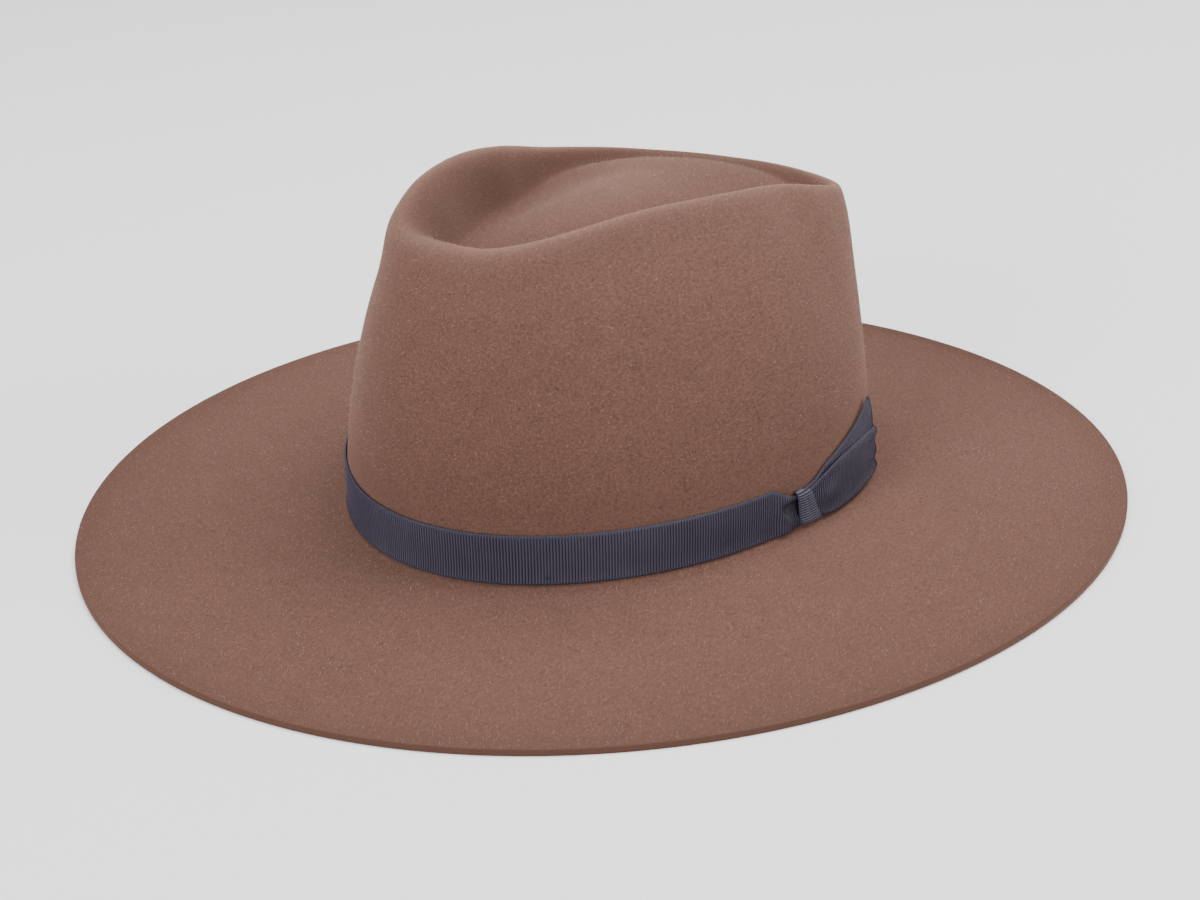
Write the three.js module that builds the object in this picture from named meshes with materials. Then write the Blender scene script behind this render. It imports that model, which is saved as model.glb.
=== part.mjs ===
// Flat brim felt hat: one felt shell with a teardrop crown, a ribbon band and a flat bow.
// Millimetres, +Z up. The front of the hat faces -Y and the bow is on +X.
// The origin is on the resting plane, in the middle of the brim.
import * as THREE from 'three';

// Felt shell
const FELT = 2;
const BRIM_LENGTH = 379;
const BRIM_WIDTH = 347.4;
const BRIM_EGG = 0.024;
const BRIM_RISE = 4.6;
const FLAT_EDGE = 9;
const HEAD_LENGTH = 203;
const HEAD_WIDTH = 170;
const HEAD_EGG = 0.09;
const FOOT_RADIUS = 1.6;
const CROWN_HEIGHT = 115;
const DOME_HEIGHT = 106.5;
const DOME_BACK = 9;

// Ribbon
const RIBBON = 1;
const RIBBON_WIDTH = 16.4;
const RIBBON_LEAN = 0.5;
const CLEARANCE = 0.3;
const LAYER_GAP = 0.25;

// Bow: the keeper holds the gathered band, and the tails run back from it
const KEEPER_AHEAD = 14;
const KEEPER_TOP_WIDTH = 7.4;
const KEEPER_FOOT_WIDTH = 10;
const KEEPER_THICK = 1.1;
const GATHER_REACH = 13;
const GATHER_TOP = 3.1;
const GATHER_FOOT = 0.8;
const GATHER_SWELL = 0.9;
const TAIL_LENGTH = 50;
const TAIL_RISE_REACH = 4;
const TAIL_RUFFLE = 0.7;
const BACK_TAIL_LENGTH = 46;
const BACK_TAIL_SLANT = 8;

// Steps of the facets
const ANGLE_STEPS = 72;
const BAND_STEPS = 96;
const BAND_ROWS = 3;
const KEEPER_STEPS = 4;
const TAIL_STEPS = 20;

const FELT_FINISH = { color: 0x876658, roughness: 0.95, metalness: 0 };
const RIBBON_FINISH = { color: 0x433f4d, roughness: 0.6, metalness: 0 };

// Half of the crown, a row every 15 degrees from the front to the back; the other half mirrors it.
// The crest is the ridge round the crease: across is a share of half the head width, along of half the
// head length, height of the crown height. Valley is the way from the crest to the dome's top at which
// the crease is lowest, depth its height, and dome the share of the climb from there that is done half
// way in. Below the crest the shoulder drops by a share of the crown height, and lean and bulge are the
// shares of the way in to the crest that the wall has at its shoulder and at mid height.
const CROWN = [
  { angle: -90, across: 0.000, along: -0.906, height: 0.965,
    valley: 0.24, depth: 0.845, dome: 0.95, drop: 0.12, lean: 0.78, bulge: 0.40 },
  { angle: -75, across: 0.172, along: -0.892, height: 0.968,
    valley: 0.24, depth: 0.840, dome: 0.93, drop: 0.12, lean: 0.82, bulge: 0.42 },
  { angle: -60, across: 0.312, along: -0.785, height: 0.982,
    valley: 0.25, depth: 0.828, dome: 0.90, drop: 0.12, lean: 0.84, bulge: 0.44 },
  { angle: -45, across: 0.410, along: -0.613, height: 0.994,
    valley: 0.27, depth: 0.814, dome: 0.86, drop: 0.12, lean: 0.85, bulge: 0.46 },
  { angle: -30, across: 0.490, along: -0.424, height: 1.000,
    valley: 0.28, depth: 0.802, dome: 0.82, drop: 0.11, lean: 0.85, bulge: 0.46 },
  { angle: -15, across: 0.562, along: -0.217, height: 0.990,
    valley: 0.28, depth: 0.793, dome: 0.80, drop: 0.10, lean: 0.83, bulge: 0.45 },
  { angle: 0, across: 0.614, along: 0.000, height: 0.972,
    valley: 0.28, depth: 0.787, dome: 0.78, drop: 0.09, lean: 0.81, bulge: 0.43 },
  { angle: 15, across: 0.641, along: 0.217, height: 0.942,
    valley: 0.28, depth: 0.783, dome: 0.78, drop: 0.08, lean: 0.80, bulge: 0.41 },
  { angle: 30, across: 0.688, along: 0.404, height: 0.902,
    valley: 0.28, depth: 0.783, dome: 0.80, drop: 0.07, lean: 0.74, bulge: 0.38 },
  { angle: 45, across: 0.680, along: 0.605, height: 0.858,
    valley: 0.24, depth: 0.800, dome: 0.88, drop: 0.07, lean: 0.68, bulge: 0.35 },
  { angle: 60, across: 0.506, along: 0.752, height: 0.842,
    valley: 0.20, depth: 0.818, dome: 0.92, drop: 0.07, lean: 0.66, bulge: 0.34 },
  { angle: 75, across: 0.259, along: 0.830, height: 0.838,
    valley: 0.17, depth: 0.836, dome: 0.94, drop: 0.07, lean: 0.66, bulge: 0.34 },
  { angle: 90, across: 0.000, along: 0.850, height: 0.837,
    valley: 0.16, depth: 0.842, dome: 0.95, drop: 0.07, lean: 0.66, bulge: 0.34 },
];

// Edges of the tails from the keeper to their ends. At is a share of the tail's length, low and high are
// heights of the lower and upper edge over the foot of the crown, as shares of the ribbon's width.
const FRONT_TAIL = [
  { at: 0.00, low: 0.12, high: 0.90 },
  { at: 0.20, low: 0.05, high: 1.13 },
  { at: 0.45, low: 0.02, high: 1.24 },
  { at: 0.70, low: 0.02, high: 1.22 },
  { at: 1.00, low: 0.04, high: 1.08 },
];
const BACK_TAIL = [
  { at: 0.00, low: 0.20, high: 1.08 },
  { at: 0.20, low: 0.32, high: 1.38 },
  { at: 0.45, low: 0.46, high: 1.56 },
  { at: 0.70, low: 0.58, high: 1.68 },
  { at: 1.00, low: 0.68, high: 1.72 },
];

// Handles of the rib between the named lines, as shares of the stretch that each lies in.
const MID_BRIM = { across: 0.50, rise: 0.42 };
const INNER_BRIM = { across: 0.86, rise: 0.84 };
const LOWER_WALL = { height: 0.36, bulge: 0.45 };
const UPPER_WALL = { height: 0.64, bulge: 1.10 };
const LIP = { across: 0.25, down: 0.30 };
const FLANK = { across: 0.62, down: 0.82 };
const DOME_SIDE = 0.5;

// Rings of facets between one handle of the rib curve and the next, from the brim edge to the dome's top.
const RINGS = [
  { span: 'edge to flat zone', rings: 1 },
  { span: 'flat zone to middle of the brim', rings: 2 },
  { span: 'middle of the brim to its inner part', rings: 2 },
  { span: 'inner part of the brim to the foot', rings: 2 },
  { span: 'foot to the wall', rings: 2 },
  { span: 'wall behind the band', rings: 2 },
  { span: 'band to the lower wall', rings: 2 },
  { span: 'lower wall to the upper wall', rings: 2 },
  { span: 'upper wall to the shoulder', rings: 2 },
  { span: 'shoulder to the crest', rings: 3 },
  { span: 'crest to the lip', rings: 2 },
  { span: 'lip to the flank', rings: 1 },
  { span: 'flank to the valley', rings: 2 },
  { span: 'valley to the side of the dome', rings: 2 },
  { span: 'side of the dome to its top', rings: 3 },
];

// Handles at which the rib's wall starts, over the foot, and ends, at the shoulder.
const WALL_FROM = 5;
const WALL_TO = 9;

const footHeight = FELT + BRIM_RISE;
const wallFoot = footHeight + FOOT_RADIUS;
const bandBottom = footHeight + FOOT_RADIUS - CLEARANCE;
const bandTop = bandBottom + RIBBON_WIDTH;

function lerp(a, b, share) {
  return a + (b - a) * share;
}

// Smooth value between b and c, with a before them and d after them, at a share of the way.
function smooth(a, b, c, d, share) {
  const bend = 2 * a - 5 * b + 4 * c - d;
  const twist = 3 * b - 3 * c + d - a;
  return b + 0.5 * share * (c - a + share * (bend + share * twist));
}

// Egg-shaped oval, wider towards the back. The angle is 0 at the bow side and 90 at the back.
function oval(length, width, egg, angle, grow) {
  const x = (width / 2 + grow) * Math.cos(angle) * (1 + egg * Math.sin(angle));
  const y = (length / 2 + grow) * Math.sin(angle);
  return new THREE.Vector2(x, y);
}

// Rows of the crown table all round: from the front up the bow side to the back, and down the other side.
const FULL_CROWN = [
  ...CROWN,
  ...CROWN.slice(1, -1).reverse().map((row) => ({ ...row, across: -row.across })),
];

// Row of the crown table at any angle in radians, on smooth curves through its rows.
function crownRow(angle) {
  const count = FULL_CROWN.length;
  const place = (angle / (2 * Math.PI) + 1.25) * count;
  const first = Math.floor(place);
  const near = [-1, 0, 1, 2].map((step) => FULL_CROWN[(first + step) % count]);
  const row = {};
  for (const name of Object.keys(CROWN[0])) {
    row[name] = smooth(...near.map((other) => other[name]), place - first);
  }
  return row;
}

// Crest, valley and side of the dome at an angle in radians.
function crease(angle) {
  const row = crownRow(angle);
  const dome = new THREE.Vector3(0, DOME_BACK, DOME_HEIGHT);
  const crest = new THREE.Vector3(row.across * HEAD_WIDTH / 2, row.along * HEAD_LENGTH / 2, row.height * CROWN_HEIGHT);
  const valley = crest.clone().lerp(dome, row.valley).setZ(row.depth * CROWN_HEIGHT);
  const side = valley.clone().lerp(dome, DOME_SIDE).setZ(lerp(valley.z, dome.z, row.dome));
  return { row, dome, crest, valley, side };
}

// Handles of the rib: the outer line of the felt from the brim edge up the wall, over the crest,
// down to the valley and up to the top of the dome. The last handle lies on the far side of the dome,
// so that the line passes level over its top.
function ribHandles(angle) {
  const { row, dome, crest, valley, side } = crease(angle);
  const edge = oval(BRIM_LENGTH, BRIM_WIDTH, BRIM_EGG, angle, 0);
  const flat = oval(BRIM_LENGTH, BRIM_WIDTH, BRIM_EGG, angle, -FLAT_EDGE);
  const foot = oval(HEAD_LENGTH, HEAD_WIDTH, HEAD_EGG, angle, FOOT_RADIUS);
  const wall = oval(HEAD_LENGTH, HEAD_WIDTH, HEAD_EGG, angle, 0);
  const top = oval(HEAD_LENGTH, HEAD_WIDTH, HEAD_EGG, angle, -RIBBON_LEAN);
  const at = (point, z) => new THREE.Vector3(point.x, point.y, z);
  const brim = (share, height) => at(flat.clone().lerp(foot, share), FELT + BRIM_RISE * height);
  const up = (lean, z) => new THREE.Vector3(lerp(top.x, crest.x, lean), lerp(top.y, crest.y, lean), z);
  const inside = (shape) => crest.clone().lerp(valley, shape.across).setZ(lerp(crest.z, valley.z, shape.down));
  return [
    at(edge, FELT),
    at(flat, FELT),
    brim(MID_BRIM.across, MID_BRIM.rise),
    brim(INNER_BRIM.across, INNER_BRIM.rise),
    at(foot, footHeight),
    at(wall, wallFoot),
    at(top, bandTop),
    up(row.bulge * LOWER_WALL.bulge, lerp(bandTop, crest.z, LOWER_WALL.height)),
    up(row.bulge * UPPER_WALL.bulge, lerp(bandTop, crest.z, UPPER_WALL.height)),
    up(row.lean, crest.z - row.drop * CROWN_HEIGHT),
    crest,
    inside(LIP),
    inside(FLANK),
    valley,
    side,
    dome,
    crease(angle + Math.PI).side,
  ];
}

// Smooth curve through the handles of one rib. Place counts handles, and may lie between two of them.
function ribCurve(angle) {
  const handles = ribHandles(angle);
  const curve = new THREE.CatmullRomCurve3(handles, false, 'centripetal');
  return (place) => curve.getPoint(place / (handles.length - 1));
}

// One rib as points from the brim edge to the dome's top.
function ribPoints(angle) {
  const curve = ribCurve(angle);
  const points = [curve(0)];
  RINGS.forEach((row, span) => {
    for (let ring = 1; ring <= row.rings; ring += 1) {
      points.push(curve(span + ring / row.rings));
    }
  });
  return points;
}

// Ribs all round, each closed by the same rib point count.
function feltRows() {
  const rows = [];
  for (let step = 0; step < ANGLE_STEPS; step += 1) {
    rows.push(ribPoints(2 * Math.PI * step / ANGLE_STEPS));
  }
  return rows;
}

// Outward normal of a closed grid of rows at one point, from its neighbours along and across.
function gridNormal(rows, row, column) {
  const count = rows.length;
  const last = rows[0].length - 1;
  const next = rows[(row + 1) % count][column];
  const previous = rows[(row + count - 1) % count][column];
  const inner = rows[row][Math.min(column + 1, last)];
  const outer = rows[row][Math.max(column - 1, 0)];
  const round = next.clone().sub(previous);
  const along = inner.clone().sub(outer);
  return round.cross(along).normalize();
}

// Same grid moved inwards by the thickness of the felt; the pole moves straight down.
function insideRows(rows, thickness) {
  const last = rows[0].length - 1;
  return rows.map((points, row) => points.map((point, column) => {
    if (column === last) {
      return point.clone().setZ(point.z - thickness);
    }
    return point.clone().addScaledVector(gridNormal(rows, row, column), -thickness);
  }));
}

function meshFrom(name, positions, triangles, finish) {
  const geometry = new THREE.BufferGeometry();
  geometry.setAttribute('position', new THREE.Float32BufferAttribute(positions.flatMap((p) => p.toArray()), 3));
  geometry.setIndex(triangles);
  geometry.computeVertexNormals();
  const mesh = new THREE.Mesh(geometry, new THREE.MeshStandardMaterial(finish));
  mesh.name = name;
  return mesh;
}

// Two triangles for a four-sided facet, corners in order seen from outside.
function facet(triangles, a, b, c, d) {
  triangles.push(a, b, c, a, c, d);
}

// Closed shell between an outer skin and an inner skin that share the edge all round and end in a pole.
function feltBody() {
  const outer = feltRows();
  const inner = insideRows(outer, FELT);
  const count = outer.length;
  const rings = outer[0].length - 1;
  const positions = [];
  for (const skin of [outer, inner]) {
    skin.forEach((points) => positions.push(...points.slice(0, rings)));
    positions.push(skin[0][rings]);
  }
  const half = positions.length / 2;
  const triangles = [];
  for (let row = 0; row < count; row += 1) {
    const here = row * rings;
    const there = ((row + 1) % count) * rings;
    for (let ring = 0; ring < rings - 1; ring += 1) {
      facet(triangles, here + ring, there + ring, there + ring + 1, here + ring + 1);
      facet(triangles, half + here + ring, half + here + ring + 1, half + there + ring + 1, half + there + ring);
    }
    triangles.push(here + rings - 1, there + rings - 1, half - 1);
    triangles.push(half + there + rings - 1, half + here + rings - 1, 2 * half - 1);
    facet(triangles, here, half + here, half + there, there);
  }
  return meshFrom('felt_body', positions, triangles, FELT_FINISH);
}

// Angle at a distance along the head oval from the bow side, positive towards the back.
function angleAlong(distance) {
  return distance / (HEAD_LENGTH / 2);
}

// Place over the felt wall: a distance along the oval, a height, and how far it stands off the felt.
function onWall({ distance, z, offset }) {
  const angle = angleAlong(distance);
  const curve = ribCurve(angle);
  let low = WALL_FROM;
  let high = WALL_TO;
  for (let pass = 0; pass < 20; pass += 1) {
    const middle = (low + high) / 2;
    if (curve(middle).z < z) {
      low = middle;
    } else {
      high = middle;
    }
  }
  const step = 0.001;
  const ahead = oval(HEAD_LENGTH, HEAD_WIDTH, HEAD_EGG, angle + step, 0);
  const behind = oval(HEAD_LENGTH, HEAD_WIDTH, HEAD_EGG, angle - step, 0);
  const outwards = new THREE.Vector3(ahead.y - behind.y, behind.x - ahead.x, 0).normalize();
  return curve(low).setZ(z).addScaledVector(outwards, offset);
}

// Solid through closed loops of places on the wall, joined end to end or closed with a cap at each end.
function wallLoft(name, loops, closed) {
  const size = loops[0].length;
  const positions = loops.flatMap((loop) => loop.map(onWall));
  const triangles = [];
  const spans = closed ? loops.length : loops.length - 1;
  for (let step = 0; step < spans; step += 1) {
    const here = step * size;
    const there = ((step + 1) % loops.length) * size;
    for (let corner = 0; corner < size; corner += 1) {
      const next = (corner + 1) % size;
      facet(triangles, here + corner, there + corner, there + next, here + next);
    }
  }
  if (!closed) {
    const outline = loops[0].map((place) => new THREE.Vector2(place.offset, place.z));
    const end = (loops.length - 1) * size;
    for (const [a, b, c] of THREE.ShapeUtils.triangulateShape(outline, [])) {
      triangles.push(a, b, c, end + a, end + c, end + b);
    }
  }
  return meshFrom(name, positions, triangles, RIBBON_FINISH);
}

// Closed loop of a ribbon: up its outer face and down its inner face. Shape gives the place of the inner
// face at a share of the ribbon's width.
function ribbonLoop(shape) {
  const shares = Array.from({ length: BAND_ROWS + 1 }, (_, row) => row / BAND_ROWS);
  const inner = shares.map(shape);
  const outer = inner.map((place) => ({ ...place, offset: place.offset + RIBBON }));
  return [...outer, ...inner.reverse()];
}

// Share of the gather at a distance: 1 where the keeper holds the band, 0 beyond the gather's reach.
function gatherShare(distance) {
  const away = Math.max(0, Math.abs(distance + KEEPER_AHEAD) - KEEPER_FOOT_WIDTH / 2);
  return THREE.MathUtils.smoothstep(1 - away / GATHER_REACH, 0, 1);
}

// The band swells just before the keeper and is drawn in where the keeper holds it.
function hatBand() {
  const loops = [];
  for (let step = 0; step < BAND_STEPS; step += 1) {
    const distance = Math.PI * HEAD_LENGTH * (step / BAND_STEPS - 0.5);
    const drawn = gatherShare(distance);
    const swell = distance < -KEEPER_AHEAD ? 4 * GATHER_SWELL * drawn * (1 - drawn) : 0;
    const low = bandBottom + GATHER_FOOT * drawn;
    const high = bandTop - GATHER_TOP * drawn;
    loops.push(ribbonLoop((share) => ({
      distance,
      z: lerp(low, high, share),
      offset: CLEARANCE + swell * share,
    })));
  }
  return wallLoft('hat_band', loops, true);
}

// The keeper wraps the gathered band: a C in section, its lips turned in over the band's two edges.
function keeperLoop(share) {
  const low = bandBottom + GATHER_FOOT - LAYER_GAP;
  const high = bandTop - GATHER_TOP + LAYER_GAP;
  const inner = CLEARANCE + RIBBON + LAYER_GAP;
  const outer = inner + KEEPER_THICK;
  const crown = KEEPER_THICK * 0.3 * Math.sin(Math.PI * share);
  const section = [
    [CLEARANCE, high],
    [CLEARANCE, high + KEEPER_THICK * 0.7],
    [inner, high + KEEPER_THICK * 0.8],
    [outer, high - KEEPER_THICK * 0.4],
    [outer + crown, (low + high) / 2],
    [outer, low + KEEPER_THICK * 0.4],
    [inner, low - KEEPER_THICK * 0.8],
    [CLEARANCE, low - KEEPER_THICK * 0.7],
    [CLEARANCE, low],
    [inner, low],
    [inner, high],
  ];
  return section.map(([offset, z]) => {
    const width = lerp(KEEPER_FOOT_WIDTH, KEEPER_TOP_WIDTH, (z - low) / (high - low));
    return { distance: -KEEPER_AHEAD + width * (share - 0.5), z, offset };
  }).reverse();
}

function bowKeeper() {
  const loops = [];
  for (let step = 0; step <= KEEPER_STEPS; step += 1) {
    loops.push(keeperLoop(step / KEEPER_STEPS));
  }
  return wallLoft('bow_keeper', loops, false);
}

// Value of one column of a tail's table at a share of its length.
function tailEdge(table, name, share) {
  const index = Math.min(table.findIndex((row) => row.at >= share), table.length - 1);
  const next = Math.max(index, 1);
  const before = table[next - 1];
  const after = table[next];
  const rows = [table[Math.max(next - 2, 0)], before, after, table[Math.min(next + 1, table.length - 1)]];
  return smooth(...rows.map((row) => row[name]), (share - before.at) / (after.at - before.at));
}

// Loops of a tail that starts behind the keeper. Offset gives how far its inner face stands off the felt.
function tailLoops(table, start, length, slant, offset) {
  const loops = [];
  for (let step = 0; step <= TAIL_STEPS; step += 1) {
    const share = step / TAIL_STEPS;
    const low = footHeight + RIBBON_WIDTH * tailEdge(table, 'low', share) + CLEARANCE;
    const high = footHeight + RIBBON_WIDTH * tailEdge(table, 'high', share) + CLEARANCE;
    loops.push(ribbonLoop((across) => {
      const distance = start + (length - slant * across) * share;
      return { distance, z: lerp(low, high, across), offset: offset(share, across) };
    }));
  }
  return loops;
}

const keeperBack = -KEEPER_AHEAD + KEEPER_FOOT_WIDTH / 2 + CLEARANCE;
const firstLayer = CLEARANCE + RIBBON + LAYER_GAP;
const secondLayer = firstLayer + RIBBON + LAYER_GAP;

// The under layer fans upwards and ends in a slanted cut.
function bowTailBack() {
  const start = keeperBack + TAIL_RISE_REACH;
  const loops = tailLoops(BACK_TAIL, start, BACK_TAIL_LENGTH, BACK_TAIL_SLANT, () => firstLayer);
  return wallLoft('bow_tail_back', loops, false);
}

// The upper layer climbs over the under layer just behind the keeper and ends in a ruffled cut.
function bowTailFront() {
  const offset = (share, across) => {
    const climb = THREE.MathUtils.smoothstep(share * TAIL_LENGTH / TAIL_RISE_REACH, 0, 1);
    const ruffle = TAIL_RUFFLE * share ** 4 * (1 - Math.cos(4 * Math.PI * across)) / 2;
    return lerp(firstLayer, secondLayer, climb) + ruffle;
  };
  return wallLoft('bow_tail_front', tailLoops(FRONT_TAIL, keeperBack, TAIL_LENGTH, 0, offset), false);
}

const hat = new THREE.Group();
hat.add(feltBody());
hat.add(hatBand());
hat.add(bowKeeper());
hat.add(bowTailBack());
hat.add(bowTailFront());

export default hat;
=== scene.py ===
"""Looks of the flat brim felt hat, built round its packed frame.

Metres, +Z up. The front of the hat faces -Y, the bow is on +X, and the hat rests on its brim at z = 0.
Sizes are held in millimetres, as a hat maker gives them, and become metres where a mesh is written.
"""

import logging
import math
from dataclasses import dataclass, field
from enum import Enum, IntEnum
from typing import Callable

import bpy
import numpy as np
from mathutils import Matrix, Vector


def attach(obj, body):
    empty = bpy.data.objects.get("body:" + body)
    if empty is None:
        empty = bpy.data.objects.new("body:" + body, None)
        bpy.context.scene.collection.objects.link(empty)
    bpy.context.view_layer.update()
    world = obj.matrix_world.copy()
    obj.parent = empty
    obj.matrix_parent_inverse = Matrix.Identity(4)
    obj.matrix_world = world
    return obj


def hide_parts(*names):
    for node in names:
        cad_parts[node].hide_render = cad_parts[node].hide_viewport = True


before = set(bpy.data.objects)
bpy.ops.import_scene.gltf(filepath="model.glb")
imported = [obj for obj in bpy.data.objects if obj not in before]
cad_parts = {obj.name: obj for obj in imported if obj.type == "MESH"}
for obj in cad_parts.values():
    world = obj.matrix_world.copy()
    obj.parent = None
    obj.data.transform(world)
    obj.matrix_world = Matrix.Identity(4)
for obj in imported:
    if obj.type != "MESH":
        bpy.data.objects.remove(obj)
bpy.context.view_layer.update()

Array = np.ndarray
Number = float | int
Triple = tuple[float, float, float]
Colour = tuple[int, int, int]

MM = 0.001
PHOTO_WIDTH = 1200
SENSOR_WIDTH = 36.0

log = logging.getLogger("hat")


# Tables of the crown and the tails, and the places along a rib


@dataclass(frozen=True)
class CrownRow:
    """One row of the crown's half table, every 15 degrees from the front to the back.

    Across, along and height place the crest as shares of half the head width, half the head length and the
    crown height. Valley is the way in to the dome's top at which the crease is lowest, depth its height, and
    dome the share of the climb done half way in. Drop, lean and bulge shape the wall below the crest.
    """

    across: float
    along: float
    height: float
    valley: float
    depth: float
    dome: float
    drop: float
    lean: float
    bulge: float


CROWN = (
    CrownRow(0.000, -0.906, 0.965, 0.24, 0.845, 0.95, 0.12, 0.78, 0.40),
    CrownRow(0.172, -0.892, 0.968, 0.24, 0.840, 0.93, 0.12, 0.82, 0.42),
    CrownRow(0.312, -0.785, 0.982, 0.25, 0.828, 0.90, 0.12, 0.84, 0.44),
    CrownRow(0.410, -0.613, 0.994, 0.27, 0.814, 0.86, 0.12, 0.85, 0.46),
    CrownRow(0.490, -0.424, 1.000, 0.28, 0.802, 0.82, 0.11, 0.85, 0.46),
    CrownRow(0.562, -0.217, 0.990, 0.28, 0.793, 0.80, 0.10, 0.83, 0.45),
    CrownRow(0.614, 0.000, 0.972, 0.28, 0.787, 0.78, 0.09, 0.81, 0.43),
    CrownRow(0.641, 0.217, 0.942, 0.28, 0.783, 0.78, 0.08, 0.80, 0.41),
    CrownRow(0.688, 0.404, 0.902, 0.28, 0.783, 0.80, 0.07, 0.74, 0.38),
    CrownRow(0.680, 0.605, 0.858, 0.24, 0.800, 0.88, 0.07, 0.68, 0.35),
    CrownRow(0.506, 0.752, 0.842, 0.20, 0.818, 0.92, 0.07, 0.66, 0.34),
    CrownRow(0.259, 0.830, 0.838, 0.17, 0.836, 0.94, 0.07, 0.66, 0.34),
    CrownRow(0.000, 0.850, 0.837, 0.16, 0.842, 0.95, 0.07, 0.66, 0.34),
)


@dataclass(frozen=True)
class TailRow:
    """One row of a tail's edges: a share of its length, and two heights as shares of the ribbon's width."""

    at: float
    low: float
    high: float


FRONT_TAIL = (
    TailRow(0.00, 0.22, 0.78),
    TailRow(0.08, 0.18, 0.82),
    TailRow(0.18, 0.10, 1.00),
    TailRow(0.32, 0.03, 1.09),
    TailRow(0.48, 0.02, 1.13),
    TailRow(0.70, 0.02, 1.12),
    TailRow(1.00, 0.04, 0.97),
)
BACK_TAIL = (
    TailRow(0.00, 0.30, 0.84),
    TailRow(0.10, 0.32, 0.90),
    TailRow(0.22, 0.36, 1.08),
    TailRow(0.40, 0.44, 1.24),
    TailRow(0.60, 0.54, 1.38),
    TailRow(0.80, 0.62, 1.53),
    TailRow(1.00, 0.68, 1.68),
)


class Place(IntEnum):
    """Handles of one rib of the felt, from the brim's edge to the far side of the dome."""

    EDGE = 0
    FLAT = 1
    MID_BRIM = 2
    INNER_BRIM = 3
    FOOT = 4
    WALL_FOOT = 5
    BAND_TOP = 6
    LOWER_WALL = 7
    UPPER_WALL = 8
    SHOULDER = 9
    CREST = 10
    LIP = 11
    FLANK = 12
    VALLEY = 13
    DOME_SIDE = 14
    DOME_TOP = 15
    FAR_SIDE = 16


# Curves and grids


def smooth_step(value: Array) -> Array:
    """Returns value clipped to 0..1 and eased at both ends: 3 v squared minus 2 v cubed."""
    clipped = np.clip(value, 0.0, 1.0)
    return clipped * clipped * (3.0 - 2.0 * clipped)


def bell(value: Array, width: float) -> Array:
    """Returns a bell curve of that half width: e to the minus (value over width) squared."""
    return np.exp(-((value / width) ** 2))


def round_table(rows: Array, place: Array) -> Array:
    """Smooth values of a table whose rows go round in a circle.

    Formula: the cubic through rows b and c, with the slope at each taken from its two neighbours.

    Args:
        rows: Table of shape (count, columns).
        place: Places counted in rows, shape (n,).

    Returns:
        Values of shape (n, columns).
    """
    count = len(rows)
    first = np.floor(place).astype(int)
    share = (place - first)[:, None]
    a, b, c, d = (rows[(first + step) % count] for step in (-1, 0, 1, 2))
    bend = 2 * a - 5 * b + 4 * c - d
    twist = 3 * b - 3 * c + d - a
    return b + 0.5 * share * (c - a + share * (bend + share * twist))


def through_handles(handles: Array, place: Array) -> Array:
    """Smooth lines through handles, one line for each column of handles.

    Formula: between two handles a cubic whose end slopes weigh the neighbouring chords by the square root of
    their length, so that a short chord beside a long one makes no loop.

    Args:
        handles: Handles of shape (count, n, 3).
        place: Places counted in handles, shape (m,).

    Returns:
        Points of shape (n, m, 3).
    """
    count = len(handles)
    before = handles[0] * 2 - handles[1]
    after = handles[-1] * 2 - handles[-2]
    padded = np.concatenate([before[None], handles, after[None]])
    first = np.clip(np.floor(place).astype(int), 0, count - 2)
    share = (place - first)[:, None, None]
    a, b, c, d = (padded[first + step] for step in range(4))
    chords = (b - a, c - b, d - c)
    reach = [np.sqrt(np.linalg.norm(chord, axis=-1, keepdims=True)) + 1e-9 for chord in chords]
    out = reach[1] * ((b - a) / reach[0] - (c - a) / (reach[0] + reach[1]) + (c - b) / reach[1])
    into = reach[1] * ((c - b) / reach[1] - (d - b) / (reach[1] + reach[2]) + (d - c) / reach[2])
    bend = 3 * (c - b) - 2 * out - into
    twist = 2 * (b - c) + out + into
    points = b + share * (out + share * (bend + share * twist))
    return points.transpose(1, 0, 2)


def grid_normals(grid: Array, closed: bool) -> Array:
    """Unit normals of a grid of points, from the cross product of its two directions.

    Args:
        grid: Points of shape (n, m, 3).
        closed: Whether the first direction goes round in a circle.

    Returns:
        Normals of the same shape.
    """
    if closed:
        across = np.roll(grid, -1, axis=0) - np.roll(grid, 1, axis=0)
    else:
        across = np.gradient(grid, axis=0)
    along = np.gradient(grid, axis=1)
    normal = np.cross(across, along)
    return normal / (np.linalg.norm(normal, axis=-1, keepdims=True) + 1e-12)


def strip_faces(columns: int, rows: int, wrap_columns: bool, wrap_rows: bool) -> tuple[Array, Array]:
    """Four-sided faces of a grid, as corners (column, row) before wrapping and as vertex numbers.

    Args:
        columns: Count of columns of vertices.
        rows: Count of rows in a column.
        wrap_columns: Whether the last column joins the first.
        wrap_rows: Whether the last row joins the first.

    Returns:
        Corners of shape (faces, 4, 2) and vertex numbers of shape (faces, 4).
    """
    first = np.arange(columns if wrap_columns else columns - 1)
    second = np.arange(rows if wrap_rows else rows - 1)
    i, j = (grid.ravel() for grid in np.meshgrid(first, second, indexing="ij"))
    steps = ((0, 0), (1, 0), (1, 1), (0, 1))
    corners = np.stack([np.stack([i + di, j + dj], axis=-1) for di, dj in steps], axis=1)
    numbers = (corners[..., 0] % columns) * rows + corners[..., 1] % rows
    return corners, numbers


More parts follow.
